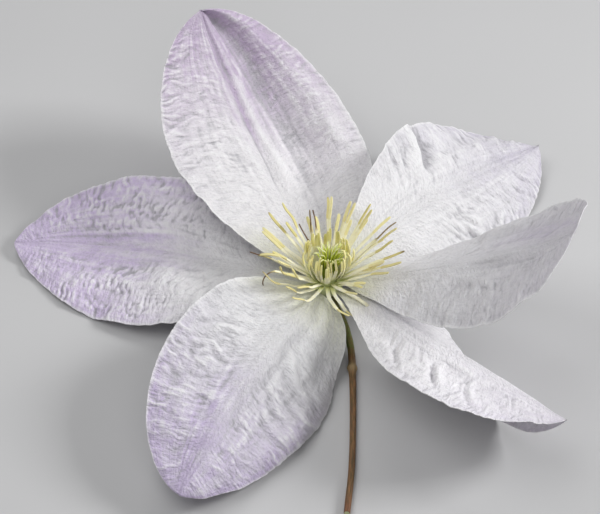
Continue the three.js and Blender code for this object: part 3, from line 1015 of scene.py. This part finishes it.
def broad_relief(sepal, s, t, half, seed):
    """Swells, valleys, humps, creases and wavy edges, in millimetres."""
    ahead = s * sepal["length"]
    aside = t * half
    swell = rough(ahead / 17, aside / 10, seed + 6) + 0.5 * rough(ahead / 8, aside / 6, seed + 7)
    height = SWELL_STRENGTH * sepal["swell"] * swell
    for centre_root, centre_tip, spread, rise, start, end in sepal.get("valleys", ()):
        fade = smooth(s, start, start + 0.25) * (1 - smooth(s, end - 0.2, end))
        height = height + rise * fade * bump(t, lerp(centre_root, centre_tip, s), spread)
    for share, across, share_spread, across_spread, rise in sepal.get("humps", ()):
        height = height + rise * bump(s, share, share_spread) * bump(t, across, across_spread)
    for crease in sepal.get("creases", ()):
        height = height + crease_relief(crease, sepal, s, ahead, aside, half)
    edge = np.sign(t) * 9
    waves = rough(ahead / 8.5, edge, seed + 10) + 0.4 * rough(ahead / 3.6, edge, seed + 11)
    return height + WAVE_STRENGTH * sepal["wave"] * waves * np.abs(t) ** 4


def ragged_reach(sepal, s, half, name, side, seed):
    """How far one half of the blade reaches from the midrib: trimmed, and a little ragged."""
    slim = np.ones_like(s)
    for trim_side, centre, spread, amount in sepal.get("trim", ()):
        if trim_side == name:
            slim = slim - amount * bump(s, centre, spread) / half
    ahead = s * sepal["length"]
    ragged = 0.22 * rough(ahead / 4, side * 7, seed + 12)
    ragged = ragged + 0.12 * rough(ahead / 1.6, side * 7, seed + 13) - 0.24
    return half * slim + ragged * smooth(half, 0.8, 4)


def smooth_sheet(sepal, s, half, outwards, seed):
    """The sheet without its relief: two halves folded and curled up or down from the midrib."""
    spine, ahead, left, up = sepal_spine(sepal, s)
    come = smooth(s, 0, SEPAL_FLAT_SHARE)
    halves = {}
    for side, name in ((1, "left"), (-1, "right")):
        fold = np.radians(along(sepal["fold_" + name], s)) * come
        curl = np.radians(along(sepal["curl_" + name], s)) * come
        angle = fold[:, None] + curl[:, None] * outwards[None, :]
        stride = np.diff(outwards)[None, :]
        middle = (angle[:, 1:] + angle[:, :-1]) / 2
        aside = np.zeros_like(angle)
        height = np.zeros_like(angle)
        aside[:, 1:] = np.cumsum(np.cos(middle) * stride, 1)
        height[:, 1:] = np.cumsum(np.sin(middle) * stride, 1)
        reach = ragged_reach(sepal, s, half, name, side, seed)[:, None]
        halves[side] = rings_round(spine, side * (aside * reach), height * reach, left, up)
    return np.concatenate([halves[-1][:, :0:-1], halves[1]], 1)


def sheet_normal(sheet):
    return unit(np.cross(np.gradient(sheet, axis=0), np.gradient(sheet, axis=1)))


def sepal_grid(sepal, seed):
    """The sheet's middle surface with its relief, its normals and the shares it is laid out by."""
    u = np.linspace(0, 1, SEPAL_ROWS)
    s = u - ROW_CROWDING * np.sin(2 * math.pi * u) / (2 * math.pi)
    half = half_width(sepal, s)
    steps = (SEPAL_COLUMNS - 1) // 2
    outwards = np.sin(np.linspace(0, 1, steps + 1) * COLUMN_CROWDING) / math.sin(COLUMN_CROWDING)
    t = np.concatenate([-outwards[:0:-1], outwards])
    sheet = smooth_sheet(sepal, s, half, outwards, seed)
    place = s[:, None], t[None, :], half[:, None], seed
    # The relief fades out at the root and is less at the tip.
    inner = (smooth(s, 0.06, 0.25) * (1 - 0.6 * smooth(s, 0.95, 1.0)))[:, None]
    fine = fine_relief(sepal, *place) * inner
    height = fine + broad_relief(sepal, *place) * inner
    sheet = sheet + sheet_normal(sheet) * height[..., None]
    # The painted shade of the hollows, and the painted highlight of the crests, is fainter near the
    # root and fades out at the tip.
    shade = (0.35 + 0.65 * smooth(s, 0.2, 0.55)) * (1 - smooth(s, 0.96, 1.0))
    hollow = 0.5 + (hollowness(fine, height) - 0.5) * shade[:, None]
    return sheet, sheet_normal(sheet), s, t, half, hollow


def bar_mask(sepal, s, t):
    """How strongly the lilac bars along the veins show."""
    mask = np.zeros((len(s), len(t)))
    for root, tip, spread, strength, start, end in sepal.get("bars", ()):
        centre = lerp(root, tip, s)[:, None]
        fade = smooth(s, start, start + 0.25) * (1 - 0.5 * smooth(s, end - 0.1, end))
        mask += strength * bump(t[None, :], centre, spread) * fade[:, None]
    return mask


def sepal_looks(sepal, s, t, half, hollow, seed):
    """What the petal finish asks of a sepal's upper side.

    place: share across, share along, and 1 on the underside. blade: millimetres over the blade.
    flow: millimetres across and along the ripples. bars: a mask. hollow: the mask for painted
    shade and painted highlights.
    """
    ahead = s[:, None] * np.ones_like(hollow)
    aside = t[None, :] * np.ones_like(hollow)
    across, lengthways = ripple_flow(sepal, s[:, None], t[None, :], half[:, None])
    level = np.full_like(hollow, seed)
    blade = aside * half[:, None] + 60, ahead * sepal["length"], level
    return {
        "place": np.stack([aside, ahead, 0 * level], -1),
        "blade": np.stack(blade, -1),
        "flow": np.stack([across, lengthways, level + 4 * np.tanh(8 * aside)], -1),
        "bars": bar_mask(sepal, s, t),
        "hollow": hollow,
    }


def back_ribs(s, t):
    """How high the three ribs stand on the underside."""
    side_ribs = bump(t[None, :], SIDE_RIB_PLACE, 0.028) + bump(t[None, :], -SIDE_RIB_PLACE, 0.028)
    ribs = MIDRIB_HEIGHT * bump(t[None, :], 0, 0.035) + SIDE_RIB_HEIGHT * side_ribs
    return (smooth(s, 0.0, 0.1) * (1 - 0.85 * s))[:, None] * ribs


def rim_faces(upper, lower):
    """Faces that join a line of upper points to a coarser line of lower points."""
    step = UNDERSIDE_STEP
    return [
        [*upper[k * step:(k + 1) * step + 1][::-1].tolist(), int(lower[k]), int(lower[k + 1])]
        for k in range(len(lower) - 1)
    ]


def sheet_faces(rows, columns):
    """Faces of the upper side, of the coarser underside and of the rim between them."""
    top = np.arange(rows * columns).reshape(rows, columns)
    bottom = top[::UNDERSIDE_STEP, ::UNDERSIDE_STEP]
    bottom = top.size + np.arange(bottom.size).reshape(bottom.shape)
    faces = grid_faces(rows, columns)
    faces += grid_faces(*bottom.shape, first=top.size, flip=True)
    faces += rim_faces(top[:, 0], bottom[:, 0])
    faces += rim_faces(top[::-1, -1], bottom[::-1, -1])
    faces += rim_faces(top[0, ::-1], bottom[0, ::-1])
    faces += rim_faces(top[-1], bottom[-1])
    return faces


def grow_sepal(name, sepal, seed, material):
    sheet, normal, s, t, half, hollow = sepal_grid(sepal, seed)
    rows, columns = hollow.shape
    thick = lerp(SEPAL_THICKNESS, SEPAL_EDGE_THICKNESS, t[None, :] ** 2) * np.ones((rows, 1))
    upper = sheet + normal * (thick / 2)[..., None]
    lower = sheet - normal * (thick / 2 + back_ribs(s, t))[..., None]
    coarse = slice(None, None, UNDERSIDE_STEP)
    sides = [upper.reshape(-1, 3), lower[coarse, coarse].reshape(-1, 3)]
    values = {}
    for look_name, numbers in sepal_looks(sepal, s, t, half, hollow, seed).items():
        below = numbers[coarse, coarse].copy()
        if look_name == "place":
            below[..., 2] = 1
        shape = (-1, *numbers.shape[2:])
        values[look_name] = np.concatenate([numbers.reshape(shape), below.reshape(shape)])
    points = within_frame(np.concatenate(sides))
    grow(name + "_fine", points, sheet_faces(rows, columns), values, material, [name])


# ---------------------------------------------------------------- growing the stamens


def cushion_height(radius):
    return lerp(CUSHION_TOP, CUSHION_SHOULDER, (radius / CUSHION_RADIUS) ** 2)


def anther_share(stamen, shares):
    """How far up the anther each place is: 0 all along the filament, 1 at the tip."""
    return np.clip((shares - 1 + stamen["anther"]) / stamen["anther"], 0, 1)


def stamen_path(stamen, shares):
    """Points, directions and sideways directions of a stamen, from its root to its tip."""
    anther = anther_share(stamen, shares)
    azimuth = stamen["azimuth"] + stamen["sway"] * shares**1.5 + stamen["hook"] * anther**1.5
    lean = stamen["lean"] + stamen["bend"] * shares + stamen["curl"] * anther
    lean = lean + stamen["kink"] * smooth(shares, 0.56, 0.64)
    ripple = stamen["wobble"] * smooth(shares, 0.1, 0.6)
    lean = lean + ripple * np.sin(13 * shares + 5 * stamen["azimuth"])
    azimuth = azimuth + ripple * np.sin(16 * shares + 3 * stamen["azimuth"])
    outward = np.stack([
        np.sin(lean) * np.cos(azimuth), np.sin(lean) * np.sin(azimuth), np.cos(lean),
    ], -1)
    root = np.array([
        stamen["radius"] * math.cos(stamen["azimuth"]),
        stamen["radius"] * math.sin(stamen["azimuth"]),
        cushion_height(stamen["radius"]) + STAMEN_ROOT_GAP,
    ])
    points = np.zeros((len(shares), 3))
    points[0] = root - outward[0] * 0.5
    strides = (outward[1:] + outward[:-1]) / 2 * (np.diff(shares) * stamen["length"])[:, None]
    points[1:] = root + np.cumsum(strides, 0)
    # The flat face keeps turned to the axis, however far the stamen curls.
    face = stamen["azimuth"] + stamen["sway"] * shares + math.pi / 2
    across = np.stack([np.cos(face), np.sin(face), np.zeros_like(face)], -1)
    across = unit(across - outward * np.sum(across * outward, -1, keepdims=True))
    return points, outward, across


def stamen_section(stamen, shares):
    """Half the width, half the thickness and the depth of the groove along a stamen."""
    part = anther_share(stamen, shares)
    swell = smooth(part, 0.0, 0.09) * np.sqrt(np.clip(1 - part**9, 0, 1)) * stamen["slim"]
    closed = 1 - smooth(part, 0.97, 1.0)
    wide = lerp(*FILAMENT_HALF_WIDTHS, smooth(shares, 0.2, 0.66))
    wide = lerp(wide, ANTHER_BASE_HALF_WIDTH, smooth(part, 0, 0.05)) * closed
    wide = wide + ANTHER_HALF_WIDTH * swell
    thick = lerp(*FILAMENT_HALF_THICKNESSES, shares) * closed + ANTHER_HALF_THICKNESS * swell
    # A drying filament shrinks to a thread.
    dry_from, dry_amount = stamen["dry"]
    shrunk = 1 - DRY_SHRINKAGE * dry_amount * smooth(shares, dry_from, dry_from + 0.15)
    wide = np.maximum(wide * stamen["girth"] * shrunk, lerp(*THREAD_HALF_WIDTHS, dry_amount))
    return wide, thick, 0.35 + 0.35 * smooth(part, 0.02, 0.15)


def grow_stamen(name, stamen, material, nodes):
    """A flattened, grooved stamen.

    Its look is place: share, anther and rim, and mood: dry, warm and green.
    """
    filament = np.linspace(0, 1 - stamen["anther"], STAMEN_STEPS)
    ease = (1 - np.cos(np.linspace(0, math.pi, STAMEN_STEPS))) / 2
    shares = np.concatenate([filament, 1 - stamen["anther"] * (1 - ease[1:])])
    points, outward, across = stamen_path(stamen, shares)
    wide, thick, groove = stamen_section(stamen, shares)
    turn = turns_round(STAMEN_SIDES)
    x = np.cos(turn)[None, :] * wide[:, None]
    dent = 1 - groove[:, None] * bump(np.cos(turn), 0, 0.38)[None, :]
    y = np.sin(turn)[None, :] * thick[:, None] * dent
    twist = (stamen["twist"] * shares)[:, None]
    x_turned = x * np.cos(twist) - y * np.sin(twist)
    y_turned = x * np.sin(twist) + y * np.cos(twist)
    rings = rings_round(points, x_turned, y_turned, across, np.cross(outward, across))
    ends = np.stack([points[0], points[-1] + outward[-1] * 0.1])
    skin = np.concatenate([rings.reshape(-1, 3), ends])
    place = np.stack(np.broadcast_arrays(
        shares[:, None], smooth(anther_share(stamen, shares), 0.0, 0.06)[:, None],
        np.abs(np.cos(turn))[None, :],
    ), -1).reshape(-1, 3)
    place = np.concatenate([place, [[0, 0, 0], [1, 1, 0]]])
    dry_from, dry_amount = stamen["dry"]
    dry = dry_amount * smooth(place[:, 0], dry_from, dry_from + 0.12)
    mood = np.stack(np.broadcast_arrays(dry, stamen["warmth"], stamen["green"]), -1)
    values = {"place": place, "mood": mood, "spot": skin + 30 * stamen["warmth"]}
    faces = tube_faces(len(shares), STAMEN_SIDES)
    grow(name, skin, faces, values, material, nodes)


# How a stamen stands when nothing has bent it: angles in degrees, lengths in millimetres.
PLAIN_HABIT = dict(
    sway=0, hook=0, curl=0, kink=0, wobble=3, twist=0, slim=1, dry=(0.8, 0), anther=0.34, more=0,
)
# The inner stamens bulge out round the styles and close in above them.
CUP_HABIT = dict(lean=20, bend=-44, anther=0.4, curl=-14, slim=0.9)
# Stamens that dried early or bent aside, by name. Lean and bend are added to the ring's own,
# sway turns one round the axis on its way out, and kink and curl bend its middle and its anther.
HABITS = {
    "stamen_outer_01": dict(dry=(0.9, 0.9), more=1.5),
    "stamen_outer_05": dict(sway=-5, lean=2),
    "stamen_outer_06": dict(sway=3, dry=(0.96, 0.6)),
    "stamen_outer_07": dict(
        lean=-16, more=-5, sway=-6, kink=12, slim=0.25, dry=(0.6, 1.0), wobble=6,
    ),
    "stamen_outer_08": dict(wobble=14, anther=0.42, sway=3),
    "stamen_outer_09": dict(wobble=10, anther=0.38, dry=(0.95, 1.0)),
    "stamen_outer_10": dict(wobble=12, anther=0.42, curl=-16, sway=4),
    "stamen_outer_11": dict(lean=12, wobble=8, slim=0.35, dry=(0.74, 1.0), sway=2),
    "stamen_outer_12": dict(lean=4, curl=150, hook=40, slim=0.3, dry=(0.66, 1.0), more=-1),
    "stamen_outer_13": dict(lean=38, bend=-58, sway=-30, anther=0.4, wobble=10, dry=(0.9, 0.5)),
    "stamen_outer_14": dict(lean=34, bend=-50, sway=-26, wobble=8, more=-3),
    "stamen_outer_15": dict(lean=34, kink=-30, sway=-58, more=-5, slim=0.6, dry=(0.95, 0.4)),
    "stamen_outer_16": dict(lean=30, sway=62, more=-7, anther=0.3, slim=0.5),
    "stamen_outer_17": dict(lean=40, sway=44, more=-5, slim=0.5, wobble=8),
    "stamen_outer_18": dict(lean=26, sway=34, kink=52, slim=0.4, dry=(0.62, 0.75), wobble=6),
    "stamen_middle_01": dict(lean=12, more=2),
    "stamen_middle_02": dict(lean=16, more=3, slim=0.4, dry=(0.6, 0.7)),
    "stamen_middle_03": dict(lean=12, more=2),
    "stamen_middle_04": dict(lean=14, more=3),
    "stamen_middle_05": dict(lean=13, more=3, sway=-4),
    "stamen_middle_06": dict(sway=34, kink=-38, hook=-30, more=1, slim=0.55, dry=(0.5, 0.85)),
    "stamen_middle_07": dict(lean=-12, kink=14, more=-3, slim=0.25, dry=(0.55, 1.0)),
    "stamen_middle_08": dict(lean=20, more=2, wobble=12, anther=0.4),
    "stamen_middle_09": dict(lean=24, curl=60, more=1, wobble=10, dry=(0.93, 0.8)),
    "stamen_middle_10": dict(lean=30, curl=-50, hook=20, wobble=10, more=-1),
    "stamen_middle_11": dict(lean=32, bend=-40, sway=-12, wobble=12, more=-3),
    "stamen_middle_12": dict(lean=26, sway=-46, wobble=8, more=-4, slim=0.7),
    "stamen_middle_13": dict(lean=-14, bend=-20, sway=-16, more=-7, slim=0.4),
    "stamen_middle_14": dict(lean=34, sway=40, more=-6, slim=0.6),
    "stamen_middle_15": dict(lean=28, sway=20, more=-4),
    "stamen_middle_16": dict(lean=14, more=1),
    "stamen_inner_08": dict(lean=2, more=-1.5, slim=0.7),
    "stamen_inner_09": dict(lean=3, more=-2.5, slim=0.5),
    "stamen_inner_10": dict(lean=4, more=-3, slim=0.5),
    "stamen_inner_11": dict(lean=3, more=-2.5, slim=0.5),
}
# More stamens stand between the ones above, in the cup and in the skirt round it. Those in front
# of the styles are shorter and lean further out.
FILLERS = {
    "cup": dict(
        count=28, start=6, span=360, radius=3.1, length=11.5, lean=19, bend=0, shorter=2, lower=2,
        green=0.9,
    ),
    "skirt": dict(
        count=15, start=-48, span=276, radius=3.9, length=16, lean=44, bend=6, shorter=5, lower=26,
        green=0.2,
    ),
}


def settle_stamen(stamen, *habits):
    """Adds what the habits say, in degrees and millimetres, to a stamen's lean, bend and length."""
    settled = dict(PLAIN_HABIT)
    change = dict(lean=0, bend=0)
    for habit in habits:
        for key, value in habit.items():
            if key in change:
                change[key] += value
            else:
                settled[key] = value
    for key in ("sway", "hook", "curl", "kink", "wobble", "twist"):
        settled[key] = math.radians(settled[key])
    settled.update(stamen)
    settled["lean"] += math.radians(change["lean"])
    settled["bend"] += math.radians(change["bend"])
    settled["length"] += settled["more"]
    return settled


def tuft_nod(azimuth):
    """How much further out a stamen leans because the whole tuft nods, in degrees."""
    return TUFT_NOD * math.cos(azimuth - math.radians(TUFT_NOD_AZIMUTH))


def grow_frame_stamens(material, look_draw):
    """One fine stamen for each stamen of the frame, leaning as that one does."""
    place_draw = spread_stream(STAMEN_SEED)
    for ring_name, ring in STAMEN_RINGS.items():
        shared = CUP_HABIT if ring_name == "inner" else {}
        for i in range(ring["count"]):
            azimuth = math.radians(360 * i / ring["count"] + STAMEN_AZIMUTH_SPREAD * place_draw())
            stamen = dict(
                azimuth=azimuth,
                radius=ring["radius"],
                length=ring["length"] + STAMEN_LENGTH_SPREAD * place_draw(),
                lean=math.radians(
                    ring["lean"] + tuft_nod(azimuth) + ring["lean_spread"] * place_draw()
                ),
                bend=math.radians(ring["bend"] + STAMEN_BEND_SPREAD * place_draw()),
            )
            own = dict(
                sway=6 * look_draw(), twist=30 * look_draw(), wobble=4 + 3 * look_draw(),
                warmth=0.5 + 0.5 * look_draw(), girth=1 + 0.12 * look_draw(),
                green=0.6 if ring_name == "inner" else 0.0,
            )
            node = f"stamen_{ring_name}_{i + 1:02d}"
            stamen = settle_stamen(stamen, own, shared, HABITS.get(node, {}))
            grow_stamen(node + "_fine", stamen, material, [node])


def grow_filler_stamens(material, look_draw):
    """The stamens between the frame's own."""
    number = 0
    for place_name, filler in FILLERS.items():
        shared = CUP_HABIT if place_name == "cup" else {}
        for i in range(filler["count"]):
            number += 1
            azimuth = filler["start"] + filler["span"] * i / filler["count"]
            azimuth = math.radians(azimuth + FILLER_AZIMUTH_SPREAD * look_draw())
            # 1 right in front of the styles, 0 beside and behind them.
            front = (0.5 - 0.5 * math.sin(azimuth)) ** 4
            radius = filler["radius"] + FILLER_RADIUS_SPREAD * look_draw()
            length = filler["length"] + FILLER_LENGTH_SPREAD * look_draw()
            lean = filler["lean"] + tuft_nod(azimuth) + FILLER_LEAN_SPREAD * look_draw()
            stamen = dict(
                azimuth=azimuth, radius=radius, length=length - filler["shorter"] * front,
                lean=math.radians(lean + filler["lower"] * front),
                bend=math.radians(filler["bend"] + STAMEN_BEND_SPREAD * look_draw()),
            )
            own = dict(
                sway=8 * look_draw(), twist=30 * look_draw(), wobble=5, green=filler["green"],
                warmth=0.5 + 0.5 * look_draw(), girth=1 + 0.12 * look_draw(), slim=1 - 0.5 * front,
            )
            stamen = settle_stamen(stamen, shared, own)
            grow_stamen(f"stamen_filler_{number:02d}", stamen, material, [])


def grow_stamens(material):
    look_draw = spread_stream(STAMEN_SEED + 2)
    grow_frame_stamens(material, look_draw)
    grow_filler_stamens(material, look_draw)


# ---------------------------------------------------------------- growing the styles


def style_path(fill, azimuth, shares, draw):
    """Points and directions of a style that stands this far out in the bundle."""
    length = STYLE_LENGTH + 0.9 * draw() + 0.6 * (1 - fill)
    lean = math.radians(3 + 24 * fill + 5 * draw())
    # The tip flares outwards, and the whole style turns a little aside.
    flare = math.radians(45 + 45 * fill + 35 * draw())
    bend = lean * np.sin(shares * 1.9) + flare * np.clip((shares - 0.7) / 0.3, 0, 1) ** 1.5
    turn_aside = azimuth + 0.7 * draw() * shares**2
    nod = math.sin(math.radians(STYLE_NOD))
    nod_azimuth = math.radians(STYLE_NOD_AZIMUTH)
    outward = unit(np.stack([
        np.sin(bend) * np.cos(turn_aside) + nod * math.cos(nod_azimuth),
        np.sin(bend) * np.sin(turn_aside) + nod * math.sin(nod_azimuth),
        np.cos(bend),
    ], -1))
    radius = STYLE_ROOT_RADIUS * fill
    root = np.array([
        radius * math.cos(azimuth), radius * math.sin(azimuth), STYLE_ROOT_HEIGHT,
    ])
    strides = (outward[1:] + outward[:-1]) / 2 * (length / (len(shares) - 1))
    return np.concatenate([[root], root + np.cumsum(strides, 0)]), outward


def grow_styles(material):
    """The bundle of styles as one piece. Its look is place: share along, paleness of the tip."""
    draw = spread_stream(STYLE_SEED)
    shares = np.linspace(0, 1, STYLE_STEPS)
    turn = turns_round(STYLE_SIDES)
    girth = lerp(*STYLE_HALF_WIDTHS, smooth(shares, 0.1, 0.7)) + 0.05 * bump(shares, 0.93, 0.06)
    girth = (girth * np.sqrt(np.clip(1 - shares**14, 0.02, 1)))[:, None]
    share_column = np.concatenate([np.repeat(shares, STYLE_SIDES), [0, 1]])
    points, faces, places, spots = [], [], [], []
    for i in range(STYLE_COUNT):
        fill = math.sqrt((i + 0.5) / STYLE_COUNT)
        azimuth = i * STYLE_TURN + 0.2 * draw()
        line, outward = style_path(fill, azimuth, shares, draw)
        across = unit(np.cross(outward, [math.cos(azimuth + 1.2), math.sin(azimuth + 1.2), 0.01]))
        upward = np.cross(outward, across)
        rings = rings_round(line, girth * np.cos(turn), girth * np.sin(turn), across, upward)
        skin = np.concatenate([rings.reshape(-1, 3), [line[0], line[-1] + 0.05 * outward[-1]]])
        faces += tube_faces(STYLE_STEPS, STYLE_SIDES, i * len(skin))
        points.append(skin)
        pale = 0.75 + 0.25 * draw()
        places.append(np.stack(np.broadcast_arrays(share_column, pale, 0), -1))
        spots.append(skin + i)
    values = {"place": np.concatenate(places), "spot": np.concatenate(spots)}
    grow("pistils_fine", np.concatenate(points), faces, values, material, ["pistils"])


# ---------------------------------------------------------------- growing the stalk


def curve_through(knots, steps_each):
    """A smooth line through the knots that doesn't overshoot between them."""
    knots = np.array(knots, float)
    before = 2 * knots[0] - knots[1]
    after = 2 * knots[-1] - knots[-2]
    knots = np.concatenate([[before], knots, [after]])
    points = []
    for i in range(1, len(knots) - 2):
        p0, p1, p2, p3 = knots[i - 1:i + 3]
        gaps = [math.sqrt(np.linalg.norm(b - a)) for a, b in ((p0, p1), (p1, p2), (p2, p3))]
        first = (p1 - p0) / gaps[0] - (p2 - p0) / (gaps[0] + gaps[1]) + (p2 - p1) / gaps[1]
        second = (p2 - p1) / gaps[1] - (p3 - p1) / (gaps[1] + gaps[2]) + (p3 - p2) / gaps[2]
        first, second = first * gaps[1], second * gaps[1]
        for w in np.linspace(0, 1, steps_each, endpoint=False):
            points.append(
                p1 + first * w + (3 * (p2 - p1) - 2 * first - second) * w**2
                + (2 * (p1 - p2) + first + second) * w**3
            )
    points.append(knots[-2])
    return np.array(points)


def stalk_rings(line, share, turn):
    """Rings of the ribbed, knobbly stalk with its swollen node, and the sideways direction."""
    ahead = unit(np.gradient(line, axis=0))
    across = unit(np.cross([0, 0, 1], ahead + np.array([0, 1e-6, 0])))
    # The stalk ends pointing up and in, so its side stays level all the way.
    across[-1] = across[-2]
    ribs = 1 + 0.055 * np.cos(6 * turn)[None, :]
    ribs = ribs + 0.02 * rough(turn[None, :] * 3, share[:, None] * 40, STALK_SEED)
    node_swell = 0.32 * bump(share, NODE_SHARE, 0.012) + 0.14 * bump(share, NODE_SHARE, 0.03)
    node_swell = node_swell + 0.18 * smooth(share, 0.9, 1.0)
    radius = STALK_RADIUS * (0.84 + 0.16 * smooth(share, 0.3, 0.9) + node_swell)
    knobbly = 1 + 0.05 * rough(share * 30, 0 * share, STALK_SEED + 1)
    reach = (radius * knobbly)[:, None] * ribs
    upward = np.cross(ahead, across)
    rings = rings_round(line, reach * np.cos(turn), reach * np.sin(turn), across, upward)
    return rings, across[-1]


def shares_gone(points):
    """How far along a line each of its points is, from 0 to 1."""
    gone = np.concatenate([[0], np.cumsum(np.linalg.norm(np.diff(points, axis=0), axis=1))])
    return gone / gone[-1]


def cushion_rings(first, turn):
    """Rings of the dimpled cushion from the stalk to its top, started on the stalk's side."""
    share = np.linspace(0, 1, CUSHION_STEPS)
    profile = np.array(CUSHION_PROFILE, float)
    radii, heights = (np.interp(share, shares_gone(profile), column) for column in profile.T)
    soften = np.array([0.25, 0.5, 0.25])
    for _ in range(3):
        radii[1:-1] = np.convolve(radii, soften, "valid")
        heights[1:-1] = np.convolve(heights, soften, "valid")
    first = unit(first * [1, 1, 0])
    second = np.cross([0, 0, 1], first)
    dimples = 1 + 0.02 * rough(turn[None, :] * 5, share[:, None] * 22, STALK_SEED + 2)
    reach = radii[:, None] * dimples
    rings = (
        (reach * np.cos(turn))[..., None] * first
        + (reach * np.sin(turn))[..., None] * second
        + heights[:, None, None] * np.array([0, 0, 1])
    )
    return rings, heights


def grow_stalk(material):
    """Cut end, stalk and cushion in one skin.

    Its look is place: share along, share round and pith, and mood: green, tan and cushion.
    """
    turn = turns_round(STALK_SIDES)
    line = curve_through(STALK_ROUTE, STALK_STEPS)
    share = shares_gone(line)
    rings, side = stalk_rings(line, share, turn)
    cushion, heights = cushion_rings(side, turn)
    # The cut end: a thin bark ring round a slightly sunken pith.
    inward = unit(line[1] - line[0])
    cut = [line[0] + (rings[0] - line[0]) * shrink + sink * inward for shrink, sink in CUT_RINGS]
    skin = np.concatenate([np.array(cut), rings[:-1], cushion[1:]])
    ends = [line[0] + CUT_DEPTH * inward, [0, 0, CUSHION_PROFILE[-1][1] + 0.02]]
    points = within_frame(np.concatenate([skin.reshape(-1, 3), ends]))
    stalk_count, cushion_count = len(rings) - 1, len(cushion) - 1
    shares = np.concatenate([np.zeros(len(cut)), share[:-1], np.ones(cushion_count)])[:, None]
    pith = np.concatenate([PITH_SHARES, np.zeros(stalk_count + cushion_count)])[:, None]
    on_cushion = smooth(heights[1:], -2.8, 0.5)
    on_cushion = np.concatenate([np.zeros(len(cut) + stalk_count), on_cushion])[:, None]
    green = 0.85 * smooth(shares, 0.70, 0.78) + 0.25 * smooth(shares, 0.0, 0.1)
    tan = 0.8 * bump(shares, NODE_SHARE, 0.025)
    around = (turn / (2 * math.pi))[None, :]
    place = np.stack(np.broadcast_arrays(shares, around, pith), -1).reshape(-1, 3)
    mood = np.stack(np.broadcast_arrays(green, tan, on_cushion, around)[:3], -1).reshape(-1, 3)
    values = {
        "place": np.concatenate([place, [[0, 0, 1], [1, 0, 0]]]),
        "mood": np.concatenate([mood, [[0, 0, 0], [0, 0, 1]]]),
        "spot": points,
    }
    faces = tube_faces(len(skin), STALK_SIDES)
    grow("stalk_fine", points, faces, values, material, ["stalk"])


# ---------------------------------------------------------------- the flower

set_camera()
set_studio()
mottle = mottle_group()
tint = petal_tint_group(mottle)
crinkle = petal_crinkle_group()
for number, (sepal_name, habit) in enumerate(SEPALS.items()):
    petal_skin = petal_finish(sepal_name + "_skin", habit, tint, crinkle)
    grow_sepal(sepal_name, habit, SEPAL_SEED + SEPAL_SEED_STEP * number, petal_skin)
grow_stamens(stamen_finish(mottle))
grow_styles(style_finish(mottle))
grow_stalk(stalk_finish(mottle))
